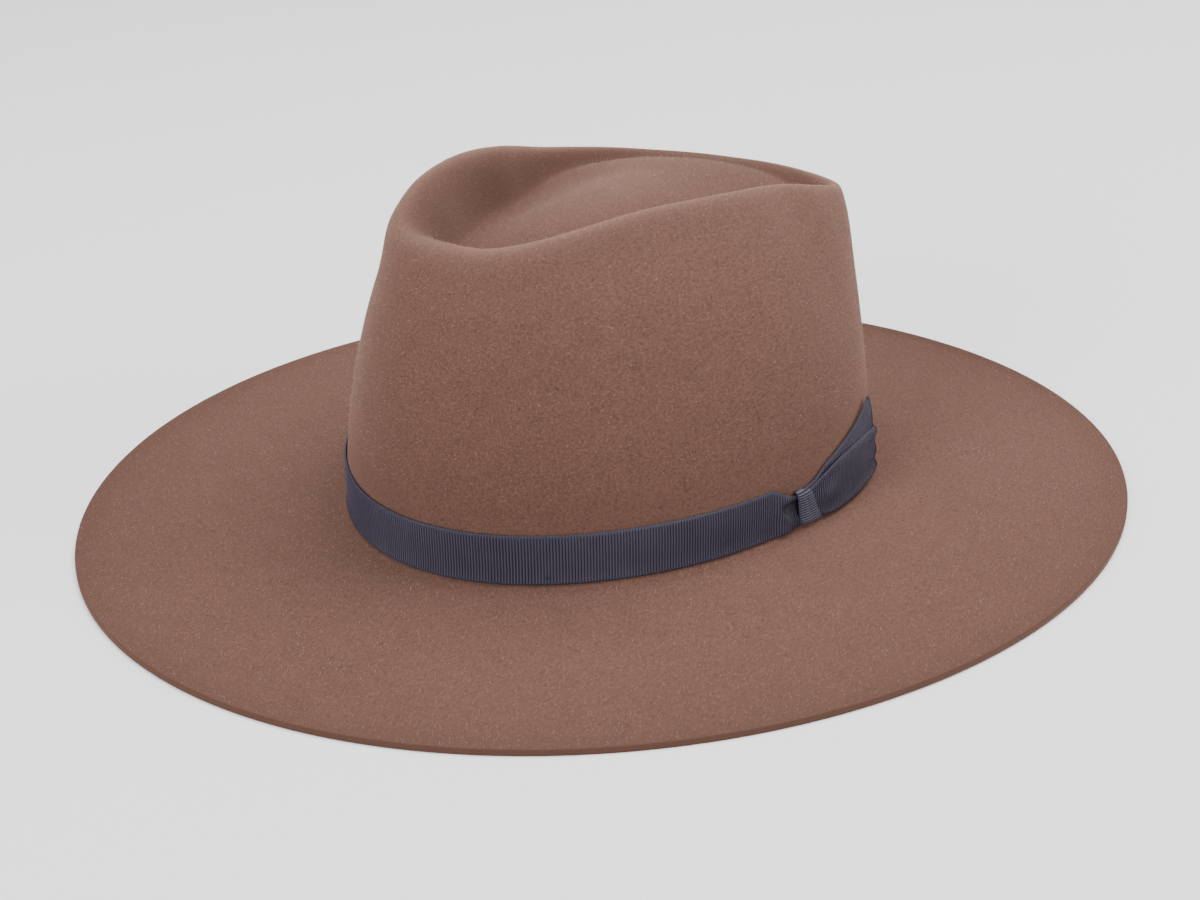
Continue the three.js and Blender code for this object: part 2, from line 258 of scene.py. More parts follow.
def write_mesh(name: str, points: Array, faces: list[Array], uv: Array | None = None) -> bpy.types.Object:
    """Makes a smooth-shaded object from points in millimetres and groups of faces.

    Args:
        name: Name of the object.
        points: Vertices of shape (count, 3), in millimetres.
        faces: Groups of faces, each of shape (count, corners).
        uv: One pair for each corner of the first group of faces, the rest gets zeros.

    Returns:
        The object, at the origin.
    """
    mesh = bpy.data.meshes.new(name)
    mesh.vertices.add(len(points))
    mesh.vertices.foreach_set("co", (points * MM).astype(np.float32).ravel())
    corners = np.concatenate([group.ravel() for group in faces]).astype(np.int32)
    sizes = np.concatenate([np.full(len(group), group.shape[1]) for group in faces]).astype(np.int32)
    starts = np.concatenate([[0], np.cumsum(sizes)[:-1]]).astype(np.int32)
    mesh.loops.add(len(corners))
    mesh.loops.foreach_set("vertex_index", corners)
    mesh.polygons.add(len(sizes))
    mesh.polygons.foreach_set("loop_start", starts)
    mesh.polygons.foreach_set("use_smooth", np.ones(len(sizes), dtype=bool))
    mesh.update(calc_edges=True)
    mesh.validate()
    if uv is not None:
        layer = mesh.uv_layers.new(name="UVMap")
        pairs = np.zeros((len(corners), 2), dtype=np.float32)
        pairs[: uv.size // 2] = uv.reshape(-1, 2)
        layer.data.foreach_set("uv", pairs.ravel())
    made = bpy.data.objects.new(name, mesh)
    bpy.context.scene.collection.objects.link(made)
    return made


def add_attribute(piece: bpy.types.Object, name: str, values: Array) -> None:
    """Stores one number for each vertex of a piece under a name that its material reads."""
    layer = piece.data.attributes.new(name, "FLOAT", "POINT")
    layer.data.foreach_set("value", values.astype(np.float32).ravel())


# Shader maths


@dataclass(frozen=True)
class Value:
    """A socket with Python's operators: an expression on values adds its Math nodes."""

    nodes: "Nodes"
    socket: bpy.types.NodeSocket

    def join(self, operation: str, *others: "Value | Number") -> "Value":
        """Returns the value of a Math node with that operation on this value and others."""
        inputs = {0: self, **{place + 1: other for place, other in enumerate(others)}}
        return self.nodes.add("ShaderNodeMath", {"operation": operation}, inputs)

    def __add__(self, other: "Value | Number") -> "Value":
        """Returns the sum."""
        return self.join("ADD", other)

    def __radd__(self, other: Number) -> "Value":
        """Returns the sum with a number on the left."""
        return self.join("ADD", other)

    def __sub__(self, other: "Value | Number") -> "Value":
        """Returns the difference."""
        return self.join("SUBTRACT", other)

    def __rsub__(self, other: Number) -> "Value":
        """Returns a number less this value."""
        return (self * -1.0).join("ADD", other)

    def __mul__(self, other: "Value | Number") -> "Value":
        """Returns the product."""
        return self.join("MULTIPLY", other)

    def __rmul__(self, other: Number) -> "Value":
        """Returns the product with a number on the left."""
        return self.join("MULTIPLY", other)

    def above(self, low: float, high: float) -> "Value":
        """Returns 0 under low and 1 over high, with an even slope between."""
        inputs = {"Value": self, "From Min": low, "From Max": high}
        return self.nodes.add("ShaderNodeMapRange", {"clamp": True}, inputs)


@dataclass
class Nodes:
    """Node tree of one material, with one method that adds any node."""

    tree: bpy.types.NodeTree

    def add(
        self,
        kind: str,
        settings: dict[str, object] | None = None,
        inputs: dict[str | int, object] | None = None,
        output: str | int = 0,
    ) -> Value:
        """Adds a node, sets its settings, then its inputs.

        Args:
            kind: Type name of the node.
            settings: Attributes of the node, set first.
            inputs: Numbers, colours or values by socket name or number.
            output: Name or number of the output that is returned.

        Returns:
            The output as a value.
        """
        node = self.tree.nodes.new(kind)
        for name, setting in (settings or {}).items():
            setattr(node, name, setting)
        for name, entry in (inputs or {}).items():
            if isinstance(entry, Value):
                self.tree.links.new(entry.socket, node.inputs[name])
            else:
                node.inputs[name].default_value = entry
        return Value(self, node.outputs[output])

    def blend(self, kind: str, share: "Value | Number", first: object, second: object) -> Value:
        """Returns a colour mix of that kind: share of the way from the first colour to the second."""
        inputs = {0: share, 6: first, 7: second}
        return self.add("ShaderNodeMix", {"data_type": "RGBA", "blend_type": kind}, inputs, output=2)

    def noise(self, place: Value, size_mm: float, detail: float, roughness: float = 0.55) -> Value:
        """Returns noise between 0 and 1 with features of about that size in millimetres."""
        inputs = {"Vector": place, "Scale": 1.0 / (size_mm * MM), "Detail": detail, "Roughness": roughness}
        return self.add("ShaderNodeTexNoise", {"noise_dimensions": "3D"}, inputs, output="Fac")

    def bump(self, height: Value, strength: float, distance: float) -> Value:
        """Returns the normal of a surface raised by that height times the distance in metres."""
        inputs = {"Strength": strength, "Distance": distance, "Height": height}
        return self.add("ShaderNodeBump", {}, inputs, "Normal")

    def attribute(self, name: str) -> Value:
        """Returns the number that a mesh stores under a name."""
        return self.add("ShaderNodeAttribute", {"attribute_name": name}, output="Fac")

    def stretched(self, place: Value, scale: Triple, turn: Triple) -> Value:
        """Returns coordinates turned and scaled, for a pattern that runs one way."""
        inputs = {"Vector": place, "Scale": scale, "Rotation": turn}
        return self.add("ShaderNodeMapping", {"vector_type": "POINT"}, inputs)


def linear(colour: Colour) -> tuple[float, float, float, float]:
    """Turns an 8-bit sRGB colour into a linear one.

    Args:
        colour: Red, green and blue, 0 to 255.

    Returns:
        Linear red, green, blue and alpha, 0 to 1.
    """
    parts = []
    for channel in colour:
        share = channel / 255.0
        parts.append(share / 12.92 if share <= 0.04045 else ((share + 0.055) / 1.055) ** 2.4)
    return (*parts, 1.0)


def new_material(name: str) -> tuple[bpy.types.Material, Nodes, bpy.types.Node]:
    """Makes an empty node material.

    Args:
        name: Name of the material.

    Returns:
        The material, its nodes and its Principled shader.
    """
    material = bpy.data.materials.new(name)
    material.use_nodes = True
    shader = next(node for node in material.node_tree.nodes if node.type == "BSDF_PRINCIPLED")
    return material, Nodes(material.node_tree), shader


def set_sockets(shader: bpy.types.Node, values: dict[str, object]) -> None:
    """Sets the sockets of the shader that are the same all over the surface."""
    for name, value in values.items():
        shader.inputs[name].default_value = value


def feed(nodes: Nodes, shader: bpy.types.Node, name: str, value: Value) -> None:
    """Links a value to one socket of the shader."""
    nodes.tree.links.new(value.socket, shader.inputs[name])


# Finishes


@dataclass(frozen=True)
class FeltFinish:
    """Wool felt: a short matted nap with fine fibres, faint mottling and specks of lint, with painted
    highlight and shade.
    """

    body: Colour = (111, 80, 69)
    shade: Colour = (67, 47, 39)
    # Painted highlight colour for the crest, the shoulder, the dome's top and the nap.
    pale: Colour = (148, 116, 103)
    # Painted shade colour for the inner side, the cut edge, the brim's edge and the crease.
    inside: Colour = (74, 51, 42)
    lint: Colour = (190, 165, 150)
    roughness: float = 0.95
    sheen: float = 0.24
    mottle_mm: float = 60.0
    cloud_mm: float = 7.0
    fibre_mm: float = 0.75
    speck_mm: float = 0.45
    nap_height: float = 0.00024
    nap_strength: float = 0.85
    lint_spacing_mm: float = 5.5
    lint_share: float = 0.2
    specular: float = 0.15
    sheen_roughness: float = 0.45
    sheen_tint: Colour = (222, 174, 156)

    def material(self) -> bpy.types.Material:
        """Makes the felt's material: a mottled tone, a painted highlight on the folds, specks of lint,
        painted shade and a napped surface.

        Returns:
            The material, which reads two attributes: the painted highlight and the painted shade (inside).
        """
        material, nodes, shader = new_material("felt")
        place = nodes.add("ShaderNodeTexCoord", output="Object")
        wear = nodes.attribute("wear")
        painted_shade = nodes.attribute("inside")
        mottle = nodes.noise(place, self.mottle_mm, 3.0)
        cloud = nodes.noise(place, self.cloud_mm, 4.0, 0.6)
        fibres = self.fibres(nodes, place)
        specks = nodes.noise(place, self.speck_mm, 2.0, 0.7)
        grain = fibres.above(0.3, 0.7) * 0.46 + specks.above(0.25, 0.75) * 0.30
        tone = mottle * 0.10 + cloud * 0.14 + grain
        deep = nodes.blend("MIX", tone.above(0.22, 0.78), linear(self.shade), linear(self.body))
        # Painted highlight: paler felt along the crest, the shoulder and the dome's top.
        highlit = nodes.blend("MIX", wear * (0.45 + fibres * 0.55), deep, linear(self.pale))
        spots = {"Vector": place, "Scale": 1.0 / (self.lint_spacing_mm * MM)}
        dots = nodes.add("ShaderNodeTexVoronoi", {"feature": "F1"}, spots, "Distance")
        lint = (1.0 - dots.above(0.035, 0.075)) * cloud.above(0.42, 0.6) * self.lint_share
        flecked = nodes.blend("MIX", lint, highlit, linear(self.lint))
        # Painted shade: darker felt on the inner side, the cut edge, towards the brim's edge and in the
        # crease.
        colour = nodes.blend("MIX", painted_shade * 0.8, flecked, linear(self.inside))
        feed(nodes, shader, "Base Color", colour)
        height = fibres * 0.6 + specks * 0.4
        feed(nodes, shader, "Normal", nodes.bump(height, self.nap_strength, self.nap_height))
        set_sockets(shader, {
            "Roughness": self.roughness,
            "Specular IOR Level": self.specular,
            "Sheen Weight": self.sheen,
            "Sheen Roughness": self.sheen_roughness,
            "Sheen Tint": linear(self.sheen_tint),
        })
        return material

    def fibres(self, nodes: Nodes, place: Value) -> Value:
        """Short matted fibres: the mean of noise stretched along three directions.

        Args:
            nodes: Nodes of the felt's material.
            place: Coordinates on the piece.

        Returns:
            The mean of the three layers.
        """
        turns = ((0.3, 0.2, 0.4), (1.2, 0.5, 1.5), (0.2, 1.3, 2.6))
        total: Value | None = None
        for turn in turns:
            layer = nodes.noise(nodes.stretched(place, (1.0, 0.45, 1.0), turn), self.fibre_mm, 2.0, 0.6)
            total = layer if total is None else total + layer
        return total * (1.0 / len(turns))


@dataclass(frozen=True)
class RibbonFinish:
    """Grosgrain ribbon: fine cross ribs of twisted yarn, dark between the ribs, with a soft sheen."""

    name: str = "ribbon"
    rib: Colour = (70, 64, 83)
    groove: Colour = (10, 8, 13)
    edge: Colour = (70, 66, 84)
    # Painted shade colour for the folds and the tails' ends.
    deep: Colour = (10, 9, 13)
    roughness: float = 0.45
    sheen: float = 0.03
    yarn_mm: float = 0.4
    cloud_mm: float = 9.0
    groove_depth: float = 0.00015
    groove_strength: float = 0.8
    groove_roughness: float = 0.25
    selvage: float = 0.87
    specular: float = 0.25
    anisotropic: float = 0.7
    anisotropic_turn: float = 0.25
    sheen_roughness: float = 0.4
    sheen_tint: Colour = (150, 148, 178)

    def material(self) -> bpy.types.Material:
        """Makes the ribbon's material: ribs by a cosine, twisted yarn in the bound edges, and painted shade
        in folds.

        Returns:
            The material, which reads the attribute fold, its painted shade, and a UV map that counts ribs
            along its first axis.
        """
        material, nodes, shader = new_material(self.name)
        place = nodes.add("ShaderNodeTexCoord", output="Object")
        pair = nodes.add("ShaderNodeTexCoord", output="UV")
        count = nodes.add("ShaderNodeSeparateXYZ", {}, {"Vector": pair}, output="X")
        across = nodes.add("ShaderNodeSeparateXYZ", {}, {"Vector": pair}, output="Y")
        wave = (count * (2.0 * math.pi)).join("COSINE") * 0.5 + 0.5
        aside = (across - 0.5).join("ABSOLUTE")
        selvage = aside.above(self.selvage / 2, self.selvage / 2 + 0.02)
        twist = ((count * 2.0 + aside * 9.0) * (2.0 * math.pi)).join("COSINE") * 0.5 + 0.5
        yarn = nodes.noise(place, self.yarn_mm, 2.0, 0.6)
        cloud = nodes.noise(place, self.cloud_mm, 3.0)
        tone = wave * 0.60 + yarn * 0.22 + cloud * 0.18
        woven = nodes.blend("MIX", tone.above(0.15, 0.85), linear(self.groove), linear(self.rib))
        bound = nodes.blend("MIX", twist, linear(self.groove), linear(self.edge))
        # Painted shade: darker in the band's pleat, next to the keeper and at the tails' ends.
        fold = nodes.attribute("fold")
        shown = nodes.blend("MIX", selvage, woven, bound)
        feed(nodes, shader, "Base Color", nodes.blend("MIX", fold * 0.9, shown, linear(self.deep)))
        gloss = self.roughness + (1.0 - wave) * self.groove_roughness
        feed(nodes, shader, "Roughness", gloss)
        height = wave * 0.8 + yarn * 0.2 + selvage * twist * 0.4
        feed(nodes, shader, "Normal", nodes.bump(height, self.groove_strength, self.groove_depth))
        set_sockets(shader, {
            "Specular IOR Level": self.specular,
            "Anisotropic": self.anisotropic,
            "Anisotropic Rotation": self.anisotropic_turn,
            "Sheen Weight": self.sheen,
            "Sheen Roughness": self.sheen_roughness,
            "Sheen Tint": linear(self.sheen_tint),
        })
        return material


# The keeper's copy of the ribbon, its ribs and grooves paler: painted light on the keeper.
KEEPER_LIT_FINISH = RibbonFinish("ribbon_lit_wrap", rib=(84, 80, 100), groove=(14, 12, 19), selvage=1.0)


# The form of the hat


@dataclass(frozen=True)
class HatForm:
    """Driving sizes of the felt, in millimetres, and the surface that follows from them.

    The pairs from mid_brim to flank place a handle: the brim's by shares of its breadth and rise, the walls'
    by shares of the table's bulge and of the climb, the crease's by shares of the way in and of the way down.
    The rolled values are by how much these and the table's shares change where the crest is fully rolled.
    """

    felt: float = 2.0
    brim_length: float = 379.0
    brim_width: float = 347.4
    brim_egg: float = 0.024
    brim_rise: float = 4.6
    flat_edge: float = 9.0
    head_length: float = 203.0
    head_width: float = 170.0
    head_egg: float = 0.09
    foot_radius: float = 1.6
    crown_height: float = 115.0
    dome_height: float = 106.5
    dome_back: float = 9.0
    mid_brim: tuple[float, float] = (0.50, 0.42)
    inner_brim: tuple[float, float] = (0.86, 0.84)
    lower_wall: tuple[float, float] = (0.45, 0.36)
    upper_wall: tuple[float, float] = (1.10, 0.64)
    lip: tuple[float, float] = (0.25, 0.30)
    flank: tuple[float, float] = (0.62, 0.82)
    valley_share: float = 0.74
    rolled_valley: float = 0.35
    rolled_drop: float = 0.02
    rolled_lean: float = 0.08
    rolled_lip: tuple[float, float] = (0.25, 0.14)
    rolled_flank: tuple[float, float] = (0.22, 0.10)
    roll_at: float = -122.0
    roll_power: int = 6
    wall_samples: int = 24
    ribbon_width: float = 16.4
    ribbon_lean: float = 0.5
    clearance: float = 0.3

    @property
    def foot_height(self) -> float:
        """Height of the brim's top where the crown begins."""
        return self.felt + self.brim_rise

    @property
    def wall_foot(self) -> float:
        """Height at which the crown's wall begins, over the rounded foot."""
        return self.foot_height + self.foot_radius

    @property
    def band_bottom(self) -> float:
        """Height of the ribbon's lower edge."""
        return self.wall_foot - self.clearance

    @property
    def band_top(self) -> float:
        """Height of the ribbon's upper edge."""
        return self.band_bottom + self.ribbon_width

    def oval(self, angle: Array, grow: float, brim: bool = False) -> Array:
        """Egg-shaped oval: x = half width cos t (1 + egg sin t), y = half length sin t.

        Args:
            angle: Angles in radians, 0 at the bow side and a quarter turn at the back.
            grow: How far the oval lies outside the driving one.
            brim: Whether it is the brim's edge and not the head's outline.

        Returns:
            Points of shape (n, 2).
        """
        length = self.brim_length if brim else self.head_length
        width = self.brim_width if brim else self.head_width
        egg = self.brim_egg if brim else self.head_egg
        x = (width / 2 + grow) * np.cos(angle) * (1 + egg * np.sin(angle))
        y = (length / 2 + grow) * np.sin(angle)
        return np.stack([x, y], axis=-1)

    def crease(self, angle: Array) -> dict[str, Array]:
        """Crest, valley and side of the dome, and the columns of the crown's table.

        Args:
            angle: Angles in radians, shape (n,).

        Returns:
            The columns by name, and under crest, low, side and top points of shape (n, 3).
        """
        half = np.array([list(vars(row).values()) for row in CROWN])
        mirrored = half[-2:0:-1] * np.array([-1] + [1] * (half.shape[1] - 1))
        table = np.concatenate([half, mirrored])
        columns = round_table(table, (angle / (2 * np.pi) + 1.25) * len(table))
        found = dict(zip(vars(CROWN[0]), columns.T))
        dome = np.array([0.0, self.dome_back, self.dome_height])
        scale = (self.head_width / 2, self.head_length / 2, self.crown_height)
        crest = np.stack([found["across"], found["along"], found["height"]], axis=-1) * scale
        share = found["valley"] * self.valley_share * (1 + self.rolled_valley * self.roll(angle))
        valley = crest + (dome - crest) * share[:, None]
        valley[:, 2] = found["depth"] * self.crown_height
        side = (valley + dome) / 2
        side[:, 2] = valley[:, 2] + (dome[2] - valley[:, 2]) * found["dome"]
        top = np.broadcast_to(dome, crest.shape)
        return {**found, "crest": crest, "low": valley, "side": side, "top": top}

    def roll(self, angle: Array) -> Array:
        """Returns how broadly the crest is rolled: 1 in front on the bow's far side, less round the crown."""
        return (0.5 + 0.5 * np.cos(angle - math.radians(self.roll_at))) ** self.roll_power

    def handles(self, angle: Array) -> Array:
        """Handles of the ribs, in the order of Place.

        Args:
            angle: Angles in radians.

        Returns:
            Handles of shape (17, n, 3).
        """
        found = self.crease(angle)
        crest, low = found["crest"], found["low"]
        edge = self.oval(angle, 0.0, brim=True)
        flat = self.oval(angle, -self.flat_edge, brim=True)
        foot = self.oval(angle, self.foot_radius)
        wall = self.oval(angle, 0.0)
        top = self.oval(angle, -self.ribbon_lean)

        def at(point: Array, z: Array | float) -> Array:
            """Returns plan points at a height."""
            return np.column_stack([point, np.broadcast_to(z, len(point))])

        def brim(share: tuple[float, float]) -> Array:
            """Returns points on the brim at a share of its breadth and of its rise."""
            return at(flat + (foot - flat) * share[0], self.felt + self.brim_rise * share[1])

        def side(lean: Array, z: Array) -> Array:
            """Returns points at a share of the way in from the wall to the crest, at a height."""
            return at(top + (crest[:, :2] - top) * lean[:, None], z)

        def wall_at(share: tuple[float, float]) -> Array:
            """Returns points on the wall at a share of its bulge and of its climb."""
            return side(found["bulge"] * share[0], self.band_top + climb * share[1])

        def inner(share: tuple[float, float], rolled: tuple[float, float]) -> Array:
            """Places between the crest and the valley, further in and higher where the crest is rolled.

            Args:
                share: Shares of the way in and of the way down.
                rolled: By how much the first grows and the second shrinks where the crest is fully rolled.

            Returns:
                Points of shape (n, 3).
            """
            across = share[0] + rolled[0] * roll
            down = share[1] - rolled[1] * roll
            point = crest + (low - crest) * across[:, None]
            point[:, 2] = crest[:, 2] + (low[:, 2] - crest[:, 2]) * down
            return point

        roll = self.roll(angle)
        climb = crest[:, 2] - self.band_top
        drop = (found["drop"] + self.rolled_drop * roll) * self.crown_height
        return np.stack([
            at(edge, self.felt),
            at(flat, self.felt),
            brim(self.mid_brim),
            brim(self.inner_brim),
            at(foot, self.foot_height),
            at(wall, self.wall_foot),
            at(top, self.band_top),
            wall_at(self.lower_wall),
            wall_at(self.upper_wall),
            side(found["lean"] - self.rolled_lean * roll, crest[:, 2] - drop),
            crest,
            inner(self.lip, self.rolled_lip),
            inner(self.flank, self.rolled_flank),
            low,
            found["side"],
            found["top"],
            self.crease(angle + np.pi)["side"],
        ])

    def outwards(self, angle: Array) -> Array:
        """Level unit vectors that point out of the head oval.

        Args:
            angle: Angles in radians, shape (n,).

        Returns:
            Vectors of shape (n, 3).
        """
        step = 1e-3
        along = self.oval(angle + step, 0.0) - self.oval(angle - step, 0.0)
        normal = np.stack([along[:, 1], -along[:, 0], np.zeros(len(angle))], axis=-1)
        return normal / np.linalg.norm(normal, axis=-1, keepdims=True)

    def on_wall(self, angle: Array, z: Array, offset: Array) -> Array:
        """Places over the felt wall.

        Formula: the wall's line at each angle is sampled, the place at height z is read between two samples,
        and the point then moves out by the offset.

        Args:
            angle: Angles in radians, shape (n, k).
            z: Heights, shape (n, k).
            offset: Distances from the felt, shape (n, k).

        Returns:
            Points of shape (n, k, 3).
        """
        count, rows = z.shape
        samples = self.wall_samples
        flat = angle.ravel()
        line = through_handles(self.handles(flat), np.linspace(Place.WALL_FOOT, Place.UPPER_WALL, samples))
        heights = line[..., 2]
        level = np.clip(z.ravel(), heights[:, 0], heights[:, -1] - 1e-6)
        lower = np.clip((heights <= level[:, None]).sum(axis=1) - 1, 0, samples - 2)
        pick = np.arange(len(flat))
        start, end = line[pick, lower], line[pick, lower + 1]
        share = ((level - start[:, 2]) / (end[:, 2] - start[:, 2]))[:, None]
        point = start + (end - start) * share
        point[:, 2] = z.ravel()
        point = point + self.outwards(flat) * offset.ravel()[:, None]
        return point.reshape(count, rows, 3)


FORM = HatForm()


# Pieces


@dataclass(frozen=True)
class Rings:
    """A stretch of every rib, between two handles, and how many rings it gets."""

    low: Place
    high: Place
    count: int


@dataclass
class FeltBody:
    """Crown and brim as one felt shell with a rounded cut edge and the soft unevenness of blocked felt."""

    form: HatForm
    finish: FeltFinish = field(default_factory=FeltFinish)
    angle_steps: int = 384
    edge_bulge: float = 0.6
    edge_steps: int = 7
    inner_step: int = 3
    soft_passes: int = 110
    soft_side: float = 0.06
    even_passes: int = 60
    dome_power: int = 5
    dome_unit: float = 50.0
    dome_sink: float = 5.6
    brim_wave: float = 0.35
    crown_wave: float = 0.45
    # Shares of painted shade on the cut edge, in the crease and towards the brim's edge, and an even
    # darkening of the outer skin.
    cut_shade: float = 1.2
    crease_shade: float = 1.15
    edge_shade: float = 0.60
    brim_shade: float = 0.12
    skin: Array = field(default_factory=lambda: np.zeros((0, 0, 3)))
    rings: tuple[Rings, ...] = (
        Rings(Place.EDGE, Place.FLAT, 4),
        Rings(Place.FLAT, Place.INNER_BRIM, 20),
        Rings(Place.INNER_BRIM, Place.FOOT, 10),
        Rings(Place.FOOT, Place.BAND_TOP, 14),
        Rings(Place.BAND_TOP, Place.SHOULDER, 34),
        Rings(Place.SHOULDER, Place.LIP, 34),
        Rings(Place.LIP, Place.VALLEY, 20),
        Rings(Place.VALLEY, Place.DOME_TOP, 30),
    )

    def places(self) -> Array:
        """Returns the places of the rings, counted in handles, close together where the felt bends most."""
        parts = [np.linspace(part.low, part.high, part.count, endpoint=False) for part in self.rings]
        return np.concatenate([*parts, [float(self.rings[-1].high)]])

    def soften(self, grid: Array, angle: Array, place: Array) -> Array:
        """Rounds the folds of the crown, broadly at the front and less at the sides.

        Formula: each pass moves a point part of the way to the middle of its two neighbours on the rib.

        Args:
            grid: Points of the outer skin, shape (n, m, 3), changed in place.
            angle: Angles of the ribs in radians, shape (n,).
            place: Places of the rings, counted in handles, shape (m,).

        Returns:
            The same grid.
        """
        share = (self.soft_side + (0.5 - self.soft_side) * self.form.roll(angle))[:, None, None]
        zone = bell(place - Place.CREST - 0.2, 1.6) + 0.7 * smooth_step(place - Place.FLANK)
        share = share * zone[None, 1:-1, None]
        rim = place < Place.FLANK
        crest = grid[:, rim, 2].max(axis=1)
        for _ in range(self.soft_passes):
            middle = (grid[:, :-2] + grid[:, 2:]) / 2
            grid[:, 1:-1] += (middle - grid[:, 1:-1]) * np.minimum(share, 0.5)
        lost = crest - grid[:, rim, 2].max(axis=1)
        grid[..., 2] += lost[:, None] * bell(place - Place.CREST, 2.0)[None, :]
        return grid

    def round_dome(self, grid: Array, place: Array) -> Array:
        """Gives the dome one smooth height over its plan.

        Formula: heights inside the crease are fitted with all products of x and y up to the dome's power, the
        fit takes over from the valley inwards, and its middle sinks by a bell curve.

        Args:
            grid: Points of the outer skin, shape (n, m, 3), changed in place.
            place: Places of the rings, counted in handles, shape (m,).

        Returns:
            The same grid.
        """
        before_valley = Place.VALLEY - 0.6
        inside = place >= before_valley
        x, y = grid[:, :, 0] / self.dome_unit, grid[:, :, 1] / self.dome_unit
        count = self.dome_power + 1
        powers = [(i, j) for i in range(count) for j in range(count - i)]
        terms = np.stack([x**i * y**j for i, j in powers], axis=-1)
        weight = (0.2 + (Place.DOME_TOP - place[inside]))[None, :, None]
        known = (terms[:, inside] * weight).reshape(-1, len(powers))
        wanted = (grid[:, inside, 2:] * weight).ravel()
        fit = np.linalg.lstsq(known, wanted, rcond=None)[0]
        share = smooth_step((place - before_valley - 0.2) / 0.9)[None, :]
        sunk = smooth_step((place - before_valley - 0.4) / 1.4)[None, :]
        sink = self.dome_sink * bell(x, 1.1) * bell(y - 0.5, 1.2) * sunk
        grid[..., 2] += (terms @ fit - sink - grid[..., 2]) * share
        return grid

    def even_out(self, grid: Array, place: Array) -> Array:
        """Takes the ripples out of the crease's wall.

        Formula: each pass moves a point half way to the middle of its two neighbours round the crown.

        Args:
            grid: Points of the outer skin, shape (n, m, 3), changed in place.
            place: Places of the rings, counted in handles, shape (m,).

        Returns:
            The same grid.
        """
        begin = smooth_step((place - Place.CREST - 0.2) / 0.8)
        end = smooth_step((Place.DOME_TOP - 0.4 - place) / 0.6)
        share = 0.5 * (begin * end)[None, :, None]
        for _ in range(self.even_passes):
            middle = (np.roll(grid, 1, axis=0) + np.roll(grid, -1, axis=0)) / 2
            grid += (middle - grid) * share
        return grid

    def unevenness(self, grid: Array, angle: Array, place: Array) -> Array:
        """How far each point moves out along its normal.

        Formula: on the brim a few long waves round the edge that fade out towards the crown, and on the crown
        slow sines in three directions that fade out towards the band.

        Args:
            grid: Points of the outer skin, shape (n, m, 3).
            angle: Angles of the ribs in radians, shape (n,).
            place: Places of the rings, counted in handles, shape (m,).

        Returns:
            Distances of shape (n, m).
        """
        turn = angle[:, None]
        out = smooth_step(1.0 - place / Place.FOOT)[None, :]
        waves = 0.5 * np.cos(2 * turn + 0.6) + 0.3 * np.sin(3 * turn + 1.1) + 0.2 * np.cos(5 * turn + 2.0)
        x, y, z = grid[..., 0], grid[..., 1], grid[..., 2]
        lumps = np.sin(x / 13.0 + 0.7) * np.sin(y / 17.0 + 1.9)
        lumps = lumps + np.sin(z / 11.0 + x / 23.0) * np.cos(y / 29.0)
        ripples = np.sin(x / 5.5 + y / 9.0) * np.sin(z / 7.0 + y / 6.5 + 0.4)
        crown = smooth_step((place - Place.BAND_TOP) / 2.0)[None, :]
        return self.brim_wave * out * waves + self.crown_wave * crown * (0.4 * lumps + 0.14 * ripples)

    def build(self) -> bpy.types.Object:
        """Makes the shell: down the inner skin, round the cut edge, and back over the outer skin to the dome.

        The inner skin is plain and little seen, so it keeps only every third ring.

        Returns:
            The dressed shell.
        """
        angle = np.arange(self.angle_steps) * 2 * np.pi / self.angle_steps
        place = self.places()
        outer = self.soften(through_handles(self.form.handles(angle), place), angle, place)
        outer = self.even_out(self.round_dome(outer, place), place)
        normal = grid_normals(outer, closed=True)
        normal[:, -1] = (0.0, 0.0, 1.0)
        outer = outer + normal * self.unevenness(outer, angle, place)[..., None]
        outer[:, -1] = outer[:, -1].mean(axis=0)
        outer[:, 0, 2] = np.maximum(outer[:, 0, 2], self.form.felt)
        inner = outer - normal * self.form.felt
        inner[..., 2] = np.maximum(inner[..., 2], 0.0)
        self.skin = outer
        edge = self.cut_edge(outer[:, 0], inner[:, 0])
        lower = inner[:, -2 :: -self.inner_step]
        loop = np.concatenate([lower, edge, outer[:, :-1]], axis=1)
        columns, rows = loop.shape[:2]
        poles = np.stack([inner[0, -1], outer[0, -1]])
        points = np.concatenate([loop.reshape(-1, 3), poles])
        faces = strip_faces(columns, rows, True, False)[1]
        first = np.arange(columns) * rows
        following = np.roll(first, -1)
        under = np.stack([following, first, np.full(columns, len(points) - 2)], axis=-1)
        over = np.stack([first + rows - 1, following + rows - 1, np.full(columns, len(points) - 1)], axis=-1)
        piece = write_mesh("felt_shell", points, [faces, under, over])
        # Painted highlight on the folds, and painted shade on the inner skin, the cut edge, towards the
        # brim's edge and in the crease.
        wear = self.wear(angle, place)
        shade = np.full(edge.shape[1], self.cut_shade)
        inside = np.concatenate([np.ones(lower.shape[1]), shade, self.shade(place[:-1])])
        highlit = np.concatenate([np.zeros((columns, rows - len(place) + 1)), wear[:, :-1]], axis=1)
        painted_shade = np.broadcast_to(inside, (columns, rows))
        add_attribute(piece, "wear", np.concatenate([highlit.ravel(), [0.0, wear[0, -1]]]))
        add_attribute(piece, "inside", np.concatenate([painted_shade.ravel(), [1.0, 0.0]]))
        return self.dress(piece)

